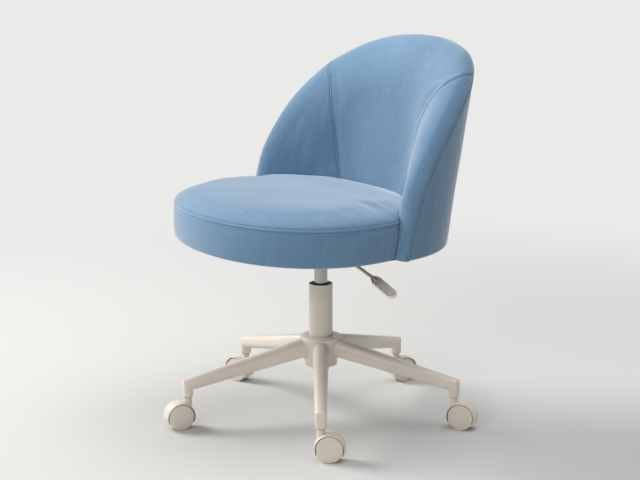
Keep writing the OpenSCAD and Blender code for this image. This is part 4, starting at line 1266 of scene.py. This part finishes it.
class CHAIR_OT_castors(bpy.types.Operator):
    """Makes the five hooded twin-wheel castors"""

    bl_idname = "chair.castors"
    bl_label = "Castors"

    def execute(self, context):
        nylon = finish("moulded_cream_nylon", cream_nylon_finish)
        hood, wheel = self.hood(), self.wheel()
        for k in range(1, 6):
            swivel = JOINTS[f"castor_{k}_swivel"]["pos_m"]
            roll = JOINTS[f"castor_{k}_near_roll"]
            centre = Vector(roll["pos_m"])
            trail = Vector((centre.x - swivel[0], centre.y - swivel[1], 0))
            turn = Matrix.Rotation(math.atan2(trail.y, trail.x), 4, "Z")
            made = copied(hood, f"castor_{k}_moulded_hood", Matrix.Translation(centre) @ turn)
            dress(made, nylon)
            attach(made, f"castor_{k}")
            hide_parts(f"castor_{k}_hood")
            for side, name in ((-1, "near"), (1, "far")):
                flip = Matrix.Rotation(math.pi / 2 if side < 0 else -math.pi / 2, 4, "X")
                made = copied(wheel, f"castor_{k}_{name}_moulded_wheel",
                              Matrix.Translation(centre) @ turn @ flip)
                dress(made, nylon)
                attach(made, f"castor_{k}_{name}")
                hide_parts(f"castor_{k}_wheel_{name}")
        discard(hood, wheel)
        return {"FINISHED"}

    def wheel(self):
        """One wheel about Z, its outer face up: a soft-edged tread and a raised disc."""
        low, wide = WEB + WHEEL_GAP, WHEEL_W / MM
        hub = [(3.1, 0), (7, 0), (7, wide - 5), (22, wide - 4.6)]
        tread = [(23.2, 0.5), (25.6, 0.4), (26.6, 1.0), (27, 2.0), (27, wide - 2.6), (26.8, wide - 1.6),
                 (26.2, wide - 0.9)]
        rim_face = [(25.2, wide - 0.55), (24.0, wide - 0.5), (21.3, wide - 0.5), (20.9, wide - 0.35)]
        disc = [(20.6, wide - 0.02), (20.0, wide + 0.06), (14, wide + 0.12), (6, wide + 0.18),
                (1.2, wide + 0.2)]
        return turned("wheel_pattern", [(a * MM, b * MM + low) for a, b in hub + tread + rim_face + disc],
                      72)

    def hood(self):
        """The hood about the axle: a shell over both wheels, a web between them and the stem's collar."""
        half = HALF_CASTOR
        edge = 4.2 * MM
        outside = [(HOOD_R - edge * 0.55 + edge * 0.55 * math.cos(t), -half + edge - edge * math.sin(t))
                   for t in np.radians(np.linspace(90, 0, 7))]
        crown = [(HOOD_R + 0.9 * MM * (1 - u * u), u * (half - edge)) for u in np.linspace(-0.8, 0.8, 9)]
        outside = outside + crown + [(a, -b) for a, b in outside[::-1]]
        shell = turned("hood_pattern", [(HOOD_IN, half), (HOOD_IN, -half)] + outside + [(HOOD_IN, half)],
                       96, closed=False)
        return self.joined_hood(shell)

    def joined_hood(self, shell):
        """The hood's shell with its web and its stem's collar, cut off level above the floor."""
        take(shell)
        shell.data.transform(Matrix.Rotation(math.pi / 2, 4, "X"))
        web_r = HOOD_IN + 0.4 * MM
        web = turned("web_pattern", [(web_r, -WEB), (web_r, WEB)], 96, closed=False)
        take(web)
        edit_all()
        bpy.ops.mesh.fill_holes(sides=0)
        finish_mesh(web)
        web.data.transform(Matrix.Rotation(math.pi / 2, 4, "X"))
        made = joined(shell, web)
        edit_all()
        bpy.ops.mesh.bisect(plane_co=(0, 0, HOOD_LOW - AXLE_Z), plane_no=(0, 0, 1), clear_inner=True,
                            use_fill=True)
        finish_mesh(made)
        stem = JOINTS["castor_1_swivel"]["pos_m"]
        axle = JOINTS["castor_1_near_roll"]["pos_m"]
        trail = math.hypot(axle[0] - stem[0], axle[1] - stem[1])
        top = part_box("castor_1_hood")[1][2] - AXLE_Z
        fillet = [(COLLAR_R + 1.2 * MM, 21 * MM), (COLLAR_R + 0.5 * MM, 26.2 * MM), (COLLAR_R, 28.5 * MM)]
        rim_edge = [(COLLAR_R, top - 0.8 * MM), (COLLAR_R - 0.25 * MM, top - 0.25 * MM),
                    (COLLAR_R - 0.8 * MM, top)]
        bore = [(STEM_BORE_R, top), (STEM_BORE_R, top - 3 * MM)]
        boss = turned("collar_pattern", fillet + rim_edge + bore, 48, closed=False)
        boss.data.transform(Matrix.Translation((-trail, 0, 0)))
        return joined(made, boss)


LEVER_SLOPE = math.radians(13.3)
PADDLE_END = 263 * MM
PADDLE_L, PADDLE_W, PADDLE_T = 80 * MM, 20 * MM, 7 * MM
PADDLE_NECK = 4.4 * MM
PADDLE_DROOP = math.radians(3.5)
PADDLE_ROLL = math.radians(26)
PADDLE_RIM = 2.2 * MM
RECESS = 1.2 * MM
RIB_PITCH = 4.2 * MM


class CHAIR_OT_lever(bpy.types.Operator):
    """Makes the moulded paddle of the height lever"""

    bl_idname = "chair.lever"
    bl_label = "Lever paddle"

    def execute(self, context):
        # The paddle's nylon is painted a lighter cream than the castors' to make up for the seat's shade over the
        # paddle
        lightened_cream = nylon_finish("moulded_cream_nylon_painted_lighter", "#F1E9DF", 0.4)
        pivot = Vector(JOINTS["lever_lift"]["pos_m"])
        length, wide, thick = PADDLE_L, PADDLE_W, PADDLE_T
        tip = (PADDLE_END - pivot.x) / math.cos(LEVER_SLOPE)
        begin()
        bpy.ops.mesh.primitive_circle_add(vertices=48, radius=wide / 2, location=(tip - wide / 2, 0, 0),
                                          fill_type="NGON")
        made = bpy.context.active_object
        made.name = "lever_moulded_paddle"
        bpy.ops.object.transform_apply(location=True)
        for vert in made.data.vertices:
            ahead = vert.co.x - (tip - wide / 2)
            if ahead < 0:
                share = min(1.0, -ahead / (wide / 2))
                side = math.copysign(1, vert.co.y) if abs(vert.co.y) > 1e-6 else 0
                back = share ** 1.6 * (length - wide / 2)
                body = min(1.0, max(0.0, (length - wide / 2 - back) / (length * 0.2)))
                half = mixed(PADDLE_NECK, wide / 2, (1 - math.cos(math.pi * body)) / 2)
                vert.co.x = tip - wide / 2 - back
                vert.co.y = side * half if share < 0.999 else 0.0
        edit_all()
        bpy.ops.transform.translate(value=(0, 0, -thick / 2))
        extruded(0, 0, thick)
        pick(made, faces=lambda f: f.normal.z > 0.9 and f.calc_center_median().z > 0)
        bpy.ops.mesh.inset(thickness=PADDLE_RIM, depth=0)
        bpy.ops.mesh.inset(thickness=0.5 * MM, depth=-RECESS)
        finish_mesh(made, 34)
        bevelled(made, 1.5 * MM, 4, 50)
        ribs = []
        for x in np.arange(tip - length * 0.62, tip - wide * 0.42, RIB_PITCH):
            begin()
            bpy.ops.mesh.primitive_cylinder_add(vertices=16, radius=0.9 * MM, depth=wide - 6.4 * MM,
                                                location=(x, 0, thick / 2 - RECESS),
                                                rotation=(math.pi / 2, 0, 0))
            rib = bpy.context.active_object
            bpy.ops.object.transform_apply(location=True, rotation=True, scale=True)
            bpy.ops.object.shade_smooth_by_angle(angle=0.6)
            ribs.append(rib)
        made = joined(made, *ribs)
        # The paddle droops a little from its rod and is rolled towards the sitter's hand
        neck = Vector((tip - length, 0, 0))
        hang = Matrix.Rotation(PADDLE_DROOP, 4, "Y") @ Matrix.Rotation(PADDLE_ROLL, 4, "X")
        hang = Matrix.Translation(neck) @ hang @ Matrix.Translation(-neck)
        made.data.transform(Matrix.Translation(pivot) @ Matrix.Rotation(LEVER_SLOPE, 4, "Y") @ hang)
        dress(made, lightened_cream)
        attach(made, "lever")
        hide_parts("lever_paddle")
        return {"FINISHED"}


# ---------------------------------------------------------------- stage and finishes


# The camera's place in metres, and its sensor and lens in millimetres
EYE = Vector((2.657, -1.754, 1.0605))
TURN = math.radians(56.6)
PITCH = math.radians(12.09)
SENSOR = 36.0
LENS = 87.823125
# Where the lamps point, and where the floor's shading starts and ends its change to the even backdrop
AIM = Vector((0, 0, 0.45))
LIT_REACH, EVEN_REACH = 0.75, 2.3


class CHAIR_OT_stage(bpy.types.Operator):
    """Adds the floor, the soft lights and the camera"""

    bl_idname = "chair.stage"
    bl_label = "Stage"

    def seen_rays(self, tree):
        """1 where the backdrop is looked at, straight or in a reflection, and 0 where it lights the chair."""
        path = add(tree, "ShaderNodeLightPath").outputs
        either = add(tree, "ShaderNodeMath", operation="MAXIMUM",
                     links={0: path["Is Camera Ray"], 1: path["Is Glossy Ray"]})
        return add(tree, "ShaderNodeMath", operation="MAXIMUM",
                   links={0: either.outputs[0], 1: path["Is Transmission Ray"]}).outputs[0]

    def execute(self, context):
        settings = context.scene.chair_stage
        bpy.ops.object.select_all(action="DESELECT")
        bpy.ops.mesh.primitive_plane_add(size=80.0, location=(0, 0, 0))
        floor = context.active_object
        floor.name = "studio_floor"
        material, tree, shader, place = new_material("matt_painted_floor")
        shader.inputs["Base Color"].default_value = linear(settings.floor)
        shader.inputs["Roughness"].default_value = 0.9
        shader.inputs["Specular IOR Level"].default_value = 0.2
        # Lit floor with the chair's shadow near the chair, and the backdrop's even tone further out
        reach = add(tree, "ShaderNodeVectorMath", operation="LENGTH", links={0: place})
        far = add(tree, "ShaderNodeMapRange", interpolation_type="SMOOTHSTEP",
                  links={"Value": reach.outputs["Value"]},
                  values={"From Min": LIT_REACH, "From Max": EVEN_REACH})
        even = add(tree, "ShaderNodeEmission", values={"Color": linear(settings.backdrop), "Strength": 1.0})
        rays = self.seen_rays(tree)
        share = add(tree, "ShaderNodeMath", operation="MULTIPLY", links={0: far.outputs["Result"], 1: rays})
        mix = add(tree, "ShaderNodeMixShader",
                  links={0: share.outputs[0], 1: shader.outputs[0], 2: even.outputs[0]})
        tree.links.new(mix.outputs[0], tree.nodes["Material Output"].inputs["Surface"])
        dress(floor, material)

        world = bpy.data.worlds.new("soft_white_room")
        context.scene.world = world
        world.use_nodes = True
        tree = world.node_tree
        tree.nodes.clear()
        room = add(tree, "ShaderNodeBackground",
                   values={"Color": (0.97, 0.98, 1.0, 1.0), "Strength": settings.room})
        seen = add(tree, "ShaderNodeBackground",
                   values={"Color": linear(settings.backdrop), "Strength": 1.0})
        mix = add(tree, "ShaderNodeMixShader",
                  links={0: self.seen_rays(tree), 1: room.outputs[0], 2: seen.outputs[0]})
        add(tree, "ShaderNodeOutputWorld", links={"Surface": mix.outputs[0]})

        for name, place, size, power, tint in (
            ("key_softbox", (-3.6, -2.4, 3.2), 2.5, settings.key, (1.0, 0.985, 0.965)),
            ("fill_softbox", (1.5, -2.7, 1.7), 2.2, settings.fill, (0.98, 0.99, 1.0)),
            ("top_softbox", (0.3, 0.6, 3.2), 2.4, settings.top, (1.0, 1.0, 1.0)),
        ):
            lamp = bpy.data.lights.new(name, "AREA")
            lamp.shape = "SQUARE"
            lamp.size = size
            lamp.energy = power
            lamp.color = tint
            obj = bpy.data.objects.new(name, lamp)
            obj.location = place
            obj.rotation_euler = (AIM - Vector(place)).to_track_quat("-Z", "Y").to_euler()
            context.scene.collection.objects.link(obj)

        camera = bpy.data.cameras.new("camera")
        camera.sensor_width = SENSOR
        camera.lens = LENS
        camera.clip_end = 200.0
        obj = bpy.data.objects.new("camera", camera)
        level = math.cos(PITCH)
        ahead = Vector((-math.sin(TURN) * level, math.cos(TURN) * level, -math.sin(PITCH)))
        right = Vector((math.cos(TURN), math.sin(TURN), 0.0))
        up = right.cross(ahead)
        obj.matrix_world = Matrix.Translation(EYE) @ Matrix((right, up, -ahead)).transposed().to_4x4()
        context.scene.collection.objects.link(obj)
        context.scene.camera = obj
        context.scene.view_settings.view_transform = "Standard"
        return {"FINISHED"}


class CHAIR_OT_hard_finishes(bpy.types.Operator):
    """Gives the rigid nodes of the frame their finishes"""

    bl_idname = "chair.hard_finishes"
    bl_label = "Finishes of the rigid parts"

    def execute(self, context):
        slots = {s["node"]: s["material_slot"] for s in frame["record"]["subparts"]}
        black = nylon_finish("moulded_black_polypropylene", "#1B1B1D", 0.5)
        velvet = finish("woven_velvet", velvet_finish)
        finishes = {
            "base_paint": finish("powder_coated_steel", powder_finish),
            "mechanism_paint": coated_finish("black_painted_steel", "#1E1F21", 0.42),
            "castor_nylon": finish("moulded_cream_nylon", cream_nylon_finish),
            "dark_nylon": nylon_finish("moulded_dark_nylon", "#26272A", 0.42),
            "stop_rubber": nylon_finish("moulded_black_rubber", "#171718", 0.72),
            "frame_shell": black,
            "lift_chrome": metal_finish("polished_chrome_plate", "#A6A7A9", 0.1, 0.02),
            "plated_steel": metal_finish("zinc_plated_steel", "#A9AAAC", 0.3, 0.06),
            "plywood": plywood_finish(),
            "dust_cloth": felted_finish(),
            "velvet": velvet,
            "foam": velvet,
        }
        for name, obj in frame["nodes"].items():
            dress(obj, finishes[slots[name]])
        return {"FINISHED"}


CLASSES = (UpholsterySettings, BaseSettings, StageSettings, CHAIR_OT_stage, CHAIR_OT_back,
           CHAIR_OT_seat, CHAIR_OT_base, CHAIR_OT_castors, CHAIR_OT_lever, CHAIR_OT_hard_finishes)


class CHAIR_PT_panel(bpy.types.Panel):
    """Lists the chair's settings and the pieces that can be made"""

    bl_idname = "CHAIR_PT_panel"
    bl_label = "Tub chair"
    bl_space_type = "VIEW_3D"
    bl_region_type = "UI"
    bl_category = "Tub chair"

    def draw(self, context):
        for group in (context.scene.chair_upholstery, context.scene.chair_base, context.scene.chair_stage):
            box = self.layout.box()
            for name in group.__annotations__:
                box.prop(group, name)
        for operator in (c for c in CLASSES if issubclass(c, bpy.types.Operator)):
            self.layout.operator(operator.bl_idname)


def register():
    for cls in (*CLASSES, CHAIR_PT_panel):
        bpy.utils.register_class(cls)
    bpy.types.Scene.chair_upholstery = bpy.props.PointerProperty(type=UpholsterySettings)
    bpy.types.Scene.chair_base = bpy.props.PointerProperty(type=BaseSettings)
    bpy.types.Scene.chair_stage = bpy.props.PointerProperty(type=StageSettings)


def unregister():
    del bpy.types.Scene.chair_upholstery
    del bpy.types.Scene.chair_base
    del bpy.types.Scene.chair_stage
    for cls in reversed((*CLASSES, CHAIR_PT_panel)):
        bpy.utils.unregister_class(cls)


def main():
    register()
    bpy.ops.chair.stage()
    bpy.ops.chair.back()
    bpy.ops.chair.seat()
    bpy.ops.chair.base()
    bpy.ops.chair.castors()
    bpy.ops.chair.lever()
    bpy.ops.chair.hard_finishes()


if __name__ == "__main__":
    main()
